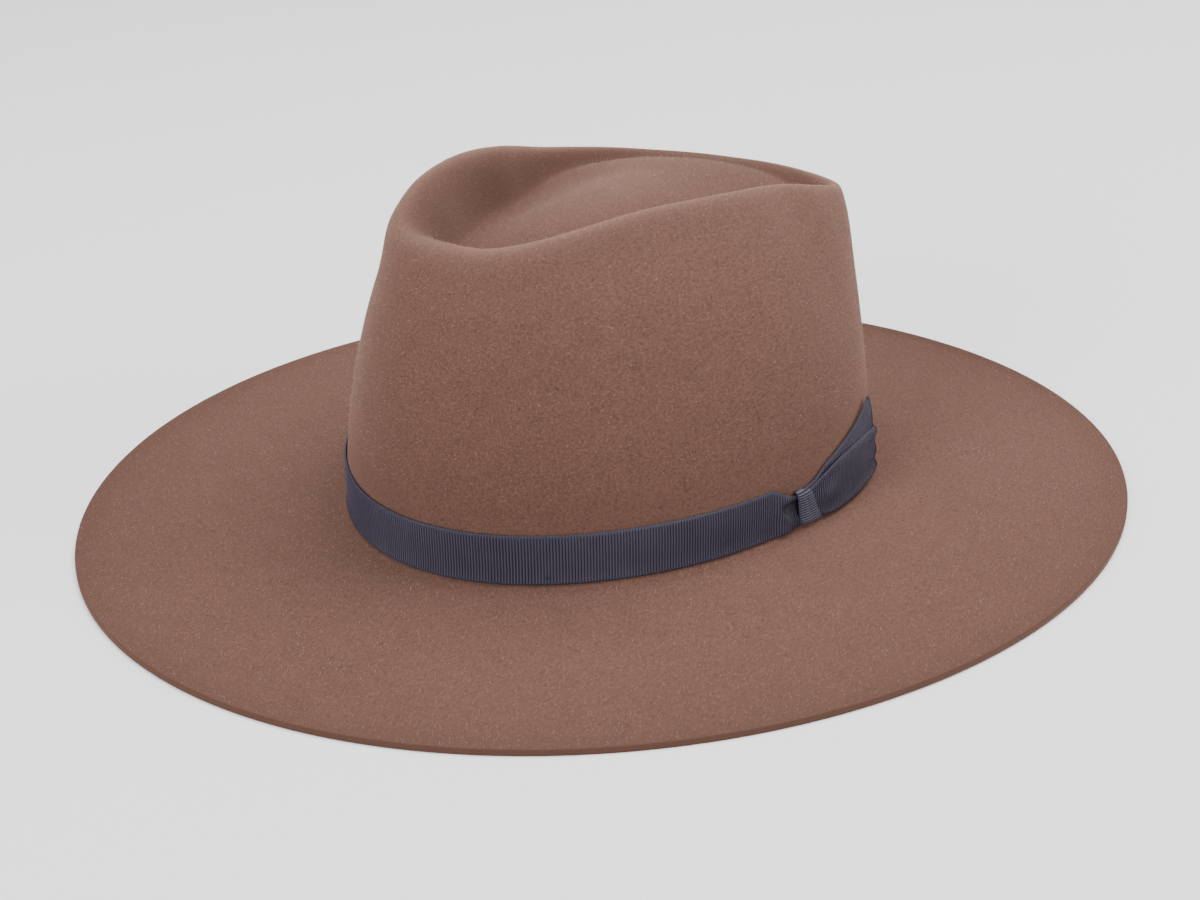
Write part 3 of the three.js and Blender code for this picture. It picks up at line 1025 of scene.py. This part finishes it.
    def cut_edge(self, top: Array, bottom: Array) -> Array:
        """Rounded cut edge between the two skins.

        Formula: a squarish half ring, its bulge the square root of a cosine and its height the signed square
        root of a sine.

        Args:
            top: Rim of the outer skin, shape (n, 3).
            bottom: Rim of the inner skin, shape (n, 3).

        Returns:
            Points of shape (n, steps, 3), from the bottom up.
        """
        middle = (top + bottom) / 2
        half = (top - bottom) / 2
        out = middle - middle.mean(axis=0)
        out[:, 2] = 0.0
        out /= np.linalg.norm(out, axis=-1, keepdims=True)
        turn = np.linspace(-np.pi / 2, np.pi / 2, self.edge_steps + 2)[1:-1]
        bulge = np.sqrt(np.cos(turn))[None, :, None] * self.edge_bulge
        rise = (np.sign(turn) * np.sqrt(np.abs(np.sin(turn))))[None, :, None]
        return middle[:, None] + out[:, None] * bulge + half[:, None] * rise

    def shade(self, place: Array) -> Array:
        """Painted shade of each ring: darker towards the brim's edge and in the crease, over an even share.
        """
        painted_edge_shade = self.brim_shade + self.edge_shade * (1.0 - smooth_step(place / Place.MID_BRIM))
        return painted_edge_shade + self.crease_shade * bell(place - Place.FLANK + 0.1, 1.15)

    def wear(self, angle: Array, place: Array) -> Array:
        """Painted highlight at each point: a narrow line on the crest, a broad one under it, a touch on the
        dome.

        Args:
            angle: Angles of the ribs in radians, shape (n,).
            place: Places of the rings, counted in handles, shape (m,).

        Returns:
            Shares of shape (n, m).
        """
        crest = 0.85 * bell(place - Place.CREST - 0.2, 0.45)
        shoulder = 0.12 * bell(place - Place.SHOULDER - 0.4, 0.8)
        line = crest + shoulder + 0.20 * bell(place - Place.DOME_TOP, 1.2)
        crisp = 1.0 - 0.75 * self.form.roll(angle)
        return crisp[:, None] * line[None, :]

    def dress(self, piece: bpy.types.Object) -> bpy.types.Object:
        """Gives the shell its material, its node and its body."""
        piece.data.materials.append(self.finish.material())
        return settle(piece, "felt", "felt_body")


def settle(piece: bpy.types.Object, slot: str, *nodes: str) -> bpy.types.Object:
    """Puts a piece under the root body, and hides the frame's nodes that it stands for.

    Args:
        piece: The piece.
        slot: Its material slot; not used.
        nodes: The frame's nodes that it replaces, if any.

    Returns:
        The same piece.
    """
    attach(piece, "root")
    if nodes:
        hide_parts(*nodes)
    return piece


@dataclass
class Nap:
    """Loose fibres that stand off the felt's outer skin, each a thin blade with one pointed end."""

    body: FeltBody
    count: int = 100000
    shortest: float = 0.35
    longest: float = 1.05
    width: float = 0.045
    lean: float = 1.1
    rooted: float = 0.1
    painted_sheen: float = 0.2
    band_margin: float = 0.3
    bow_turn: float = 0.05
    bow_reach: float = 0.5
    bow_low: float = 4.0
    bow_high: float = 38.0
    seed: int = 11

    def bare(self, points: Array, place: Array) -> Array:
        """Tells which points no ribbon covers, by their ring place, plan angle and height.

        The band's margin is counted in handles. The bow covers its reach, in radians, to both sides of its
        turn, between its two heights.

        Args:
            points: Points on the felt, shape (count, 3).
            place: Their ring places, shape (count,).

        Returns:
            True for each bare point.
        """
        turn = np.arctan2(points[:, 1], points[:, 0])
        band = (place > Place.WALL_FOOT - self.band_margin) & (place < Place.BAND_TOP + self.band_margin)
        beside = np.abs(turn - self.bow_turn) < self.bow_reach
        level = (points[:, 2] > self.bow_low) & (points[:, 2] < self.bow_high)
        return ~(band | beside & level)

    def build(self) -> bpy.types.Object:
        """Makes the fibres.

        Formula: cells of the skin are drawn by their area, each fibre starts at a random place in its cell
        and leans from the normal by a random amount in a random direction.

        Returns:
            The dressed nap.
        """
        skin = self.body.skin
        normal = grid_normals(skin, closed=True)
        place = self.body.places()
        random = np.random.default_rng(self.seed)
        following = np.roll(skin, -1, axis=0)
        across = following[:, :-1] - skin[:, :-1]
        along = skin[:, 1:] - skin[:, :-1]
        area = np.linalg.norm(np.cross(across, along), axis=-1).ravel()
        cell = random.choice(len(area), self.count, p=area / area.sum())
        i, j = np.divmod(cell, skin.shape[1] - 1)
        a, b = random.random((2, self.count, 1))
        base = skin[i, j] + across[i, j] * a + along[i, j] * b
        up = normal[i, j]
        aside = np.cross(up, random.normal(size=base.shape))
        aside /= np.linalg.norm(aside, axis=-1, keepdims=True) + 1e-9
        broad = np.cross(up, aside) * self.width / 2
        length = self.shortest + (self.longest - self.shortest) * random.random((self.count, 1)) ** 2
        tilt = random.random((self.count, 1)) * self.lean
        tip = base + (up * np.cos(tilt) + aside * np.sin(tilt)) * length
        keep = self.bare(base, place[j])
        root = base - up * self.rooted
        blades = np.stack([root - broad, root + broad, tip], axis=1)[keep]
        faces = np.arange(blades.shape[0] * 3).reshape(-1, 3)
        piece = write_mesh("felt_nap", blades.reshape(-1, 3), [faces])
        # Painted sheen: the fibres get an even share of the pale highlight colour, and no painted shade.
        add_attribute(piece, "wear", np.full(len(faces) * 3, self.painted_sheen))
        add_attribute(piece, "inside", np.zeros(len(faces) * 3))
        piece.data.materials.append(bpy.data.materials["felt"])
        return settle(piece, "felt")


@dataclass(frozen=True)
class RibbonWeave:
    """Thickness, rib pitch and rib height of the ribbon, in millimetres, and how thick its rims stay."""

    thickness: float = 0.5
    pitch: float = 0.96
    relief: float = 0.16
    rim: float = 0.35
    samples_per_rib: int = 5


WEAVE = RibbonWeave()


@dataclass
class RibbonPiece:
    """A stretch of ribbon over the felt wall, as a thin closed shell with ribs on its outer face."""

    form: HatForm
    name: str
    node: str
    material: bpy.types.Material
    weave: RibbonWeave = WEAVE

    def shell(
        self,
        angle: Array,
        z: Array,
        offset: Array,
        ribs: Array,
        closed: bool,
        fold: Array | None = None,
    ) -> bpy.types.Object:
        """Makes the shell from one grid: its inner face at the offset, its outer face a thickness further.

        Formula: the outer face stands out by relief times (1 + cosine of the rib count) over 2.

        Args:
            angle: Angles in radians, shape (n, k).
            z: Heights, shape (n, k).
            offset: Distances of the inner face from the felt, shape (n, k).
            ribs: Rib count at each point, shape (n, k).
            closed: Whether the ribbon goes all round.
            fold: How much painted shade each point gets, 0 to 1, shape (n, k).

        Returns:
            The dressed piece.
        """
        weave = self.weave
        relief = weave.relief * (0.5 + 0.5 * np.cos(2 * np.pi * ribs))
        rim = np.ones(z.shape[1])
        rim[[0, -1]] = weave.rim
        outer = self.form.on_wall(angle, z, offset + (weave.thickness + relief) * rim)
        back = np.array([z.shape[1] - 1, 0]) if closed else np.arange(z.shape[1])[::-1]
        inner = self.form.on_wall(angle[:, back], z[:, back], offset[:, back])
        loop = np.concatenate([outer, inner], axis=1)
        columns, rows = loop.shape[:2]
        corners, faces = strip_faces(columns, rows, closed, True)
        share = (z - z[:, :1]) / (z[:, -1:] - z[:, :1])
        across = np.concatenate([share, 2.0 - share[:, back]], axis=1)
        count = np.concatenate([ribs, ribs[:, back]], axis=1)
        if closed:
            count = np.concatenate([count, count[:1] + np.round(count[-1:] - count[:1])])
            across = np.concatenate([across, across[:1]])
        u = count[corners[..., 0], corners[..., 1] % rows]
        v = across[corners[..., 0], corners[..., 1] % rows]
        groups = [faces]
        if not closed:
            groups += self.caps(columns, rows)
        piece = write_mesh(self.name, loop.reshape(-1, 3), groups, np.stack([u, v], axis=-1))
        if fold is None:
            fold = np.zeros_like(z)
        add_attribute(piece, "fold", np.concatenate([fold, fold[:, back]], axis=1))
        piece.data.materials.append(self.material)
        return settle(piece, "ribbon", self.node)

    @staticmethod
    def caps(columns: int, rows: int) -> list[Array]:
        """Faces that close the two ends of a strip, from its outer face to its inner face.

        Args:
            columns: Count of columns of vertices.
            rows: Count of rows in a column, on both faces together.

        Returns:
            Vertex numbers of the faces at the start and of those at the end.
        """
        half = rows // 2
        row = np.arange(half - 1)
        start = np.stack([row, row + 1, rows - 2 - row, rows - 1 - row], axis=-1)
        end = (columns - 1) * rows + start
        return [start, end[:, ::-1]]


@dataclass
class Bow:
    """Sizes of the band's gather, the keeper and the two tails, in millimetres."""

    form: HatForm
    material: bpy.types.Material
    wrap_material: bpy.types.Material
    keeper_ahead: float = 14.0
    keeper_top_width: float = 6.8
    keeper_foot_width: float = 11.0
    keeper_slant: float = 4.6
    gather_reach: float = 11.5
    gather_top: float = 4.4
    gather_foot: float = 0.5
    gather_swell: float = 1.9
    pleat_depth: float = 2.6
    pleat_share: float = 0.62
    crease_depth: float = 0.16
    crease_share: float = 0.66
    crease_width: float = 0.05
    crease_turn: float = -1.55
    crease_reach: float = 0.55
    slack: float = 0.07
    edge_slack: float = 0.05
    band_offset: float = 0.3
    outline_steps: int = 4000
    keeper_offset: float = 1.5
    keeper_crown: float = 0.6
    keeper_crease: float = 0.3
    keeper_over: float = 0.9
    keeper_under: float = 0.5
    keeper_pitch: float = 0.94
    keeper_tilt: float = 0.9
    keeper_wrap_power: int = 9
    keeper_columns: int = 13
    keeper_finer: float = 1.25
    under_keeper: float = 1.5
    layer_gap: float = 0.1
    tail_length: float = 57.0
    tail_rows: int = 21
    tail_climb_after: float = 6.0
    tail_climb: float = 5.0
    tail_flare: float = 0.7
    tail_ruffle: float = 0.8
    tail_dart: float = 0.35
    tail_wave: float = 0.7
    back_tail_length: float = 58.0
    back_tail_slant: float = 4.0

    def angle_at(self, distance: Array) -> Array:
        """Returns the angle at a distance along the head oval, positive towards the back."""
        return distance / (self.form.head_length / 2)

    def gather(self, distance: Array) -> Array:
        """Returns the share of the gather: 1 where the keeper holds the band, 0 beyond its reach."""
        away = np.maximum(0.0, np.abs(distance + self.keeper_ahead) - self.keeper_foot_width / 2)
        return smooth_step(1.0 - away / self.gather_reach)

    def band(self) -> bpy.types.Object:
        """Makes the band, drawn in at the keeper, with a puff above and below a pleat just before it.

        Formula: the outline goes even steps round the oval, its edges close in by the share of the gather,
        and the offset is the puff less a bell-shaped pleat, plus slow sines for the slack.

        Returns:
            The dressed band.
        """
        form, weave = self.form, WEAVE
        even = np.linspace(-np.pi, np.pi, self.outline_steps, endpoint=False)
        line = form.oval(even, 1.0)
        step = np.linalg.norm(np.roll(line, -1, axis=0) - line, axis=-1)
        arc = np.concatenate([[0.0], np.cumsum(step)])
        total = int(round(arc[-1] / weave.pitch))
        count = np.arange(total * weave.samples_per_rib) / weave.samples_per_rib
        angle = np.interp(count / total * arc[-1], arc, np.append(even, np.pi))
        distance = angle * form.head_length / 2
        share = np.concatenate([[0.0, 0.03], np.linspace(0.08, 0.92, 17), [0.97, 1.0]])[None, :]
        drawn = self.gather(distance)[:, None]
        low = form.band_bottom + self.gather_foot * drawn**2
        high = form.band_top - self.gather_top * drawn
        z = low + (high - low) * share
        ahead = (distance < -self.keeper_ahead)[:, None]
        puff = self.gather_swell * drawn * (1.25 - drawn) * 2.0 * ahead
        fold = smooth_step(drawn * 1.7 - 0.3) * bell(share - self.pleat_share, 0.05 + 0.14 * drawn) * ahead
        pleat = self.pleat_depth * fold
        turn = angle[:, None]
        crease = self.crease_depth * bell(share - self.crease_share, self.crease_width)
        crease = crease * bell(turn - self.crease_turn, self.crease_reach)
        slack = self.slack * (1 + np.sin(9 * turn + 0.7)) + self.edge_slack * (1 + np.sin(17 * turn)) * share
        round_off = 1.0 - 0.5 * (2 * share - 1) ** 6
        lift = puff * round_off - pleat + slack * (1 - drawn) - crease
        offset = self.band_offset + np.maximum(lift, 0.0)
        ribs = np.broadcast_to(count[:, None], z.shape)
        piece = RibbonPiece(form, "ribbon_band", "hat_band", self.material)
        # Painted shade: dark in the pleat, and on the band drawn in just ahead of the keeper.
        shade = np.minimum(1.6 * fold + 0.5 * smooth_step(drawn * 3.0 - 2.0) * ahead, 1.0)
        return piece.shell(np.broadcast_to(turn, z.shape), z, offset, ribs, True, shade)

    def keeper(self) -> bpy.types.Object:
        """Makes the keeper: an upright wrap of ribbon, its ribs level, rounded over the band's two edges.

        Formula: the offset is the keeper's own less a bell-shaped crease, crowned by half a sine across, and
        comes down to the band's at both ends by a high power of the height.

        Returns:
            The dressed keeper.
        """
        form, weave = self.form, WEAVE
        low = form.band_bottom + self.gather_foot - self.keeper_under
        high = form.band_top - self.gather_top + self.keeper_over
        rows = int((high - low) / weave.pitch * weave.samples_per_rib * self.keeper_finer)
        share = np.linspace(0.0, 1.0, rows)[None, :]
        side = np.linspace(0.0, 1.0, self.keeper_columns)[:, None]
        width = self.keeper_foot_width + (self.keeper_top_width - self.keeper_foot_width) * share
        distance = -self.keeper_ahead + self.keeper_slant * (0.5 - share) + width * (side - 0.5)
        z = low + (high - low) * share + self.keeper_tilt * (0.5 - side)
        crown = self.keeper_crown * np.sin(np.pi * side)
        crease = self.keeper_crease * bell(side - 0.56 + 0.1 * share, 0.07)
        wrap = np.abs(2 * share - 1) ** self.keeper_wrap_power
        offset = (self.keeper_offset + crown - crease) * (1 - wrap) + self.band_offset * wrap
        ribs = z / (weave.pitch * self.keeper_pitch)
        piece = RibbonPiece(form, "ribbon_keeper", "bow_keeper", self.wrap_material)
        return piece.shell(self.angle_at(distance), z, offset, ribs, closed=False)

    @staticmethod
    def edge_line(table: tuple[TailRow, ...], edge: str, along: Array) -> Array:
        """Smooth line through one column of a tail's table.

        Formula: a cubic between two rows, whose slopes at the rows come from their neighbours.

        Args:
            table: Rows of the tail.
            edge: Name of the column.
            along: Shares of the tail's length.

        Returns:
            Heights as shares of the ribbon's width, in the shape of along.
        """
        at = np.array([row.at for row in table])
        value = np.array([getattr(row, edge) for row in table])
        slope = np.gradient(value, at)
        first = np.clip(np.searchsorted(at, along, side="right") - 1, 0, len(at) - 2)
        width = at[first + 1] - at[first]
        t = (along - at[first]) / width
        start = value[first] * (1 + 2 * t) * (1 - t) ** 2 + slope[first] * width * t * (1 - t) ** 2
        end = value[first + 1] * t * t * (3 - 2 * t) + slope[first + 1] * width * t * t * (t - 1)
        return start + end

    def tail(
        self,
        name: str,
        node: str,
        table: tuple[TailRow, ...],
        start: float,
        length: float,
        slant: float,
        lift: Callable[[Array, Array], Array],
    ) -> bpy.types.Object:
        """Makes one tail between the edges that its table gives.

        Formula: the grid runs evenly from edge to edge, a sine that grows by a high power of the length waves
        the end, and a narrow wavy strip at the end gets painted shade.

        Args:
            name: Name of the piece.
            node: Node that it stands for.
            table: Edges along the tail.
            start: Distance of its root.
            length: Length along its lower edge.
            slant: How much shorter its upper edge is.
            lift: Offset of the inner face by shares of length and width.

        Returns:
            The dressed piece.
        """
        form, weave = self.form, WEAVE
        steps = int(length / weave.pitch * weave.samples_per_rib)
        along = np.linspace(0.0, 1.0, steps)[:, None]
        across = np.linspace(0.0, 1.0, self.tail_rows)[None, :]
        low, high = (self.edge_line(table, edge, along) for edge in ("low", "high"))
        base = form.foot_height + form.clearance
        z = base + form.ribbon_width * (low + (high - low) * across)
        distance = start + (length - slant * across) * along
        distance = distance + self.tail_wave * np.sin(3.5 * np.pi * across) * along**8
        ribs = (distance - start) / weave.pitch + 0 * across
        # Painted shade: a dark wavy strip at the tail's end.
        turned = 0.9 * smooth_step((along - 0.95 - 0.02 * np.cos(7.0 * across + 0.5)) / 0.02)
        piece = RibbonPiece(form, name, node, self.material)
        return piece.shell(self.angle_at(distance), z, lift(along, across), ribs, False, turned)

    def tails(self) -> list[bpy.types.Object]:
        """Makes the under tail, fanned upwards, and the upper tail with its darts and ruffled end.

        Returns:
            The two dressed tails.
        """
        thick = WEAVE.thickness + WEAVE.relief
        back = -self.keeper_ahead - self.under_keeper
        first = self.band_offset + thick + self.layer_gap

        def under(along: Array, across: Array) -> Array:
            """Offset of the under tail: close to the felt above the band, and on the band below.

            Args:
                along: Shares of the length, shape (n, 1).
                across: Shares of the width, shape (1, k).

            Returns:
                Distances of shape (n, k).
            """
            over_band = 1.0 - smooth_step((across - 0.55) / 0.35)
            close = 0.6 + 0.9 * along
            return close + (first - 0.6) * over_band * (1 - 0.5 * along)

        def upper(along: Array, across: Array) -> Array:
            """Offset of the upper tail: it climbs over the under tail, flares and ruffles.

            Args:
                along: Shares of the length, shape (n, 1).
                across: Shares of the width, shape (1, k).

            Returns:
                Distances of shape (n, k).
            """
            climb = smooth_step((along * self.tail_length - self.tail_climb_after) / self.tail_climb)
            waves = 1 + np.cos(2 * np.pi * (1.6 * across + 0.25))
            darts = self.tail_dart * bell(along - 0.22, 0.11) * waves
            flare = self.tail_flare * (1 - 0.6 * across) * smooth_step((along - 0.1) / 0.5)
            ruffle = self.tail_ruffle * along**5 * (1 + np.cos(4.4 * np.pi * across + 0.6)) / 2
            return first + self.layer_gap + climb * (thick + 0.05) + darts + flare + ruffle

        sizes = (back, self.back_tail_length, self.back_tail_slant)
        return [
            self.tail("ribbon_tail_under", "bow_tail_back", BACK_TAIL, *sizes, under),
            self.tail("ribbon_tail_upper", "bow_tail_front", FRONT_TAIL, back, self.tail_length, 0.0, upper),
        ]


class Stroke(Enum):
    """Which way one pass of a tack stitch lies on the ribbon."""

    UPRIGHT = "upright"
    LEVEL = "level"


@dataclass(frozen=True)
class Thread:
    """One visible pass of a tack stitch: its middle in degrees round the head, its height and its run."""

    degrees: float
    height: float
    length: float
    stroke: Stroke


THREADS = (
    Thread(-64.7, 10.6, 1.9, Stroke.UPRIGHT),
    Thread(-64.1, 10.3, 1.7, Stroke.UPRIGHT),
    Thread(-64.3, 11.1, 1.2, Stroke.LEVEL),
    Thread(-129.6, 11.0, 1.3, Stroke.UPRIGHT),
)


@dataclass
class Stitches:
    """Short dark threads that tack the band to the felt."""

    form: HatForm
    material: bpy.types.Material
    radius: float = 0.17
    lift: float = 0.95
    sunk: float = 0.9
    steps: int = 9
    sides: int = 8

    def build(self) -> bpy.types.Object:
        """Makes every thread as a bowed tube whose two ends sink into the ribbon.

        Returns:
            The dressed threads as one piece.
        """
        turn = np.linspace(0.0, 2 * np.pi, self.sides, endpoint=False)
        share = np.linspace(-0.5, 0.5, self.steps)
        points, faces = [], []
        for thread in THREADS:
            upright = thread.stroke is Stroke.UPRIGHT
            run = share * thread.length
            reach = 0.0 if upright else 1.0
            distance = math.radians(thread.degrees) * self.form.head_length / 2 + run * reach
            z = thread.height + run * (1.0 - reach)
            offset = self.lift - self.sunk * (2 * share) ** 4
            turned = distance / (self.form.head_length / 2)
            line = self.form.on_wall(turned[None], z[None], offset[None])[0]
            out = self.form.outwards(np.full(self.steps, math.radians(thread.degrees)))
            aside = np.cross(out, np.gradient(line, axis=0))
            aside /= np.linalg.norm(aside, axis=-1, keepdims=True)
            ring = out[:, None] * np.sin(turn)[:, None] + aside[:, None] * np.cos(turn)[:, None]
            faces.append(strip_faces(self.steps, self.sides, False, True)[1] + sum(len(p) for p in points))
            points.append((line[:, None] + ring * self.radius).reshape(-1, 3))
        piece = write_mesh("tack_stitches", np.concatenate(points), [np.concatenate(faces)])
        piece.data.materials.append(self.material)
        return settle(piece, "ribbon")


@dataclass(frozen=True)
class ThreadFinish:
    """Dark sewing thread, matt, with a faint unevenness."""

    dark: Colour = (14, 11, 17)
    light: Colour = (34, 30, 40)
    grain_mm: float = 0.3
    roughness: float = 0.8

    def material(self) -> bpy.types.Material:
        """Makes the thread's material.

        Returns:
            The material.
        """
        material, nodes, shader = new_material("thread")
        place = nodes.add("ShaderNodeTexCoord", output="Object")
        grain = nodes.noise(place, self.grain_mm, 2.0)
        feed(nodes, shader, "Base Color", nodes.blend("MIX", grain, linear(self.dark), linear(self.light)))
        set_sockets(shader, {"Roughness": self.roughness})
        return material


# Stage


@dataclass(frozen=True)
class Lamp:
    """A square area light: its place and side in metres, and its power in watts."""

    name: str
    place: Triple
    size: float
    power: float


LAMPS = (
    Lamp("overhead", (0.35, 0.35, 2.2), 2.4, 94.0),
    Lamp("front", (-0.2, -2.15, 0.75), 1.0, 45.0),
    Lamp("right", (2.1, 0.8, 0.9), 1.2, 26.0),
)


@dataclass(frozen=True)
class Stage:
    """Floor, lights and the camera of the photograph.

    The angles are in degrees and the distance in metres. The aim is counted in pixels of the photograph.
    """

    azimuth: float = 31.0
    elevation: float = 23.34
    roll: float = -1.21
    distance: float = 0.760
    lens: float = 65.55
    aim_right: float = -5.0
    aim_up: float = 30.0
    centre_height: float = 0.001
    hat_middle: float = 0.05
    floor_size: float = 6.0
    floor_dark: float = 0.93
    floor_pale: float = 0.95
    floor_grain_mm: float = 300.0
    floor_roughness: float = 0.9
    world: float = 0.5

    def camera(self) -> None:
        """Makes the camera: it looks at the hat's middle, turned by the aim that frames the photograph."""
        a, e, r = (math.radians(angle) for angle in (self.azimuth, self.elevation, self.roll))
        back = Vector((math.sin(a) * math.cos(e), -math.cos(a) * math.cos(e), math.sin(e)))
        level = Vector((math.cos(a), math.sin(a), 0.0))
        up = back.cross(level)
        right = level * math.cos(r) + up * math.sin(r)
        up = up * math.cos(r) - level * math.sin(r)
        focal = self.lens / SENSOR_WIDTH * PHOTO_WIDTH
        looking = (right * (self.aim_right / focal) + up * (self.aim_up / focal) - back).normalized()
        side = looking.cross(up).normalized()
        data = bpy.data.cameras.new("camera")
        data.lens = self.lens
        data.sensor_width = SENSOR_WIDTH
        data.clip_start = 0.05
        data.clip_end = 20.0
        made = bpy.data.objects.new("camera", data)
        rotation = Matrix((side, side.cross(looking), -looking)).transposed()
        place = back * self.distance + Vector((0.0, 0.0, self.centre_height))
        made.matrix_world = Matrix.Translation(place) @ rotation.to_4x4()
        bpy.context.scene.collection.objects.link(made)
        bpy.context.scene.camera = made

    def floor(self) -> None:
        """Makes a plain pale floor."""
        half = self.floor_size / 2 / MM
        points = np.array([(-half, -half, 0.0), (half, -half, 0.0), (half, half, 0.0), (-half, half, 0.0)])
        made = write_mesh("floor", points, [np.array([[0, 1, 2, 3]])])
        material, nodes, shader = new_material("floor")
        grain = nodes.noise(nodes.add("ShaderNodeTexCoord", output="Object"), self.floor_grain_mm, 2.0)
        dark, pale = ((share, share, share, 1.0) for share in (self.floor_dark, self.floor_pale))
        tint = nodes.blend("MIX", grain, dark, pale)
        feed(nodes, shader, "Base Color", tint)
        set_sockets(shader, {"Roughness": self.floor_roughness})
        made.data.materials.append(material)

    def light(self, lamp: Lamp) -> None:
        """Makes one square area light that faces the hat.

        Args:
            lamp: Its place, size and power.
        """
        data = bpy.data.lights.new(lamp.name, "AREA")
        data.shape = "SQUARE"
        data.size = lamp.size
        data.energy = lamp.power
        made = bpy.data.objects.new(lamp.name, data)
        looking = Vector((0.0, 0.0, self.hat_middle)) - Vector(lamp.place)
        turned = looking.to_track_quat("-Z", "Y").to_matrix().to_4x4()
        made.matrix_world = Matrix.Translation(lamp.place) @ turned
        bpy.context.scene.collection.objects.link(made)

    def build(self) -> None:
        """Makes the whole stage: soft light from above, from the front, from the right and all round."""
        self.camera()
        self.floor()
        for lamp in LAMPS:
            self.light(lamp)
        world = bpy.data.worlds.new("studio")
        world.use_nodes = True
        ground = world.node_tree.nodes["Background"]
        ground.inputs["Color"].default_value = (1.0, 1.0, 1.0, 1.0)
        ground.inputs["Strength"].default_value = self.world
        bpy.context.scene.world = world


def main() -> None:
    """Builds the stage and every piece, and reports each."""
    logging.basicConfig(level=logging.INFO, format="%(name)s: %(message)s")
    Stage().build()
    felt = FeltBody(FORM)
    made = [felt.build(), Nap(felt).build()]
    bow = Bow(FORM, RibbonFinish().material(), KEEPER_LIT_FINISH.material())
    made += [bow.band(), bow.keeper(), *bow.tails(), Stitches(FORM, ThreadFinish().material()).build()]
    for piece in made:
        log.info("%s: %d vertices, %d faces", piece.name, len(piece.data.vertices), len(piece.data.polygons))


if __name__ == "__main__":
    main()
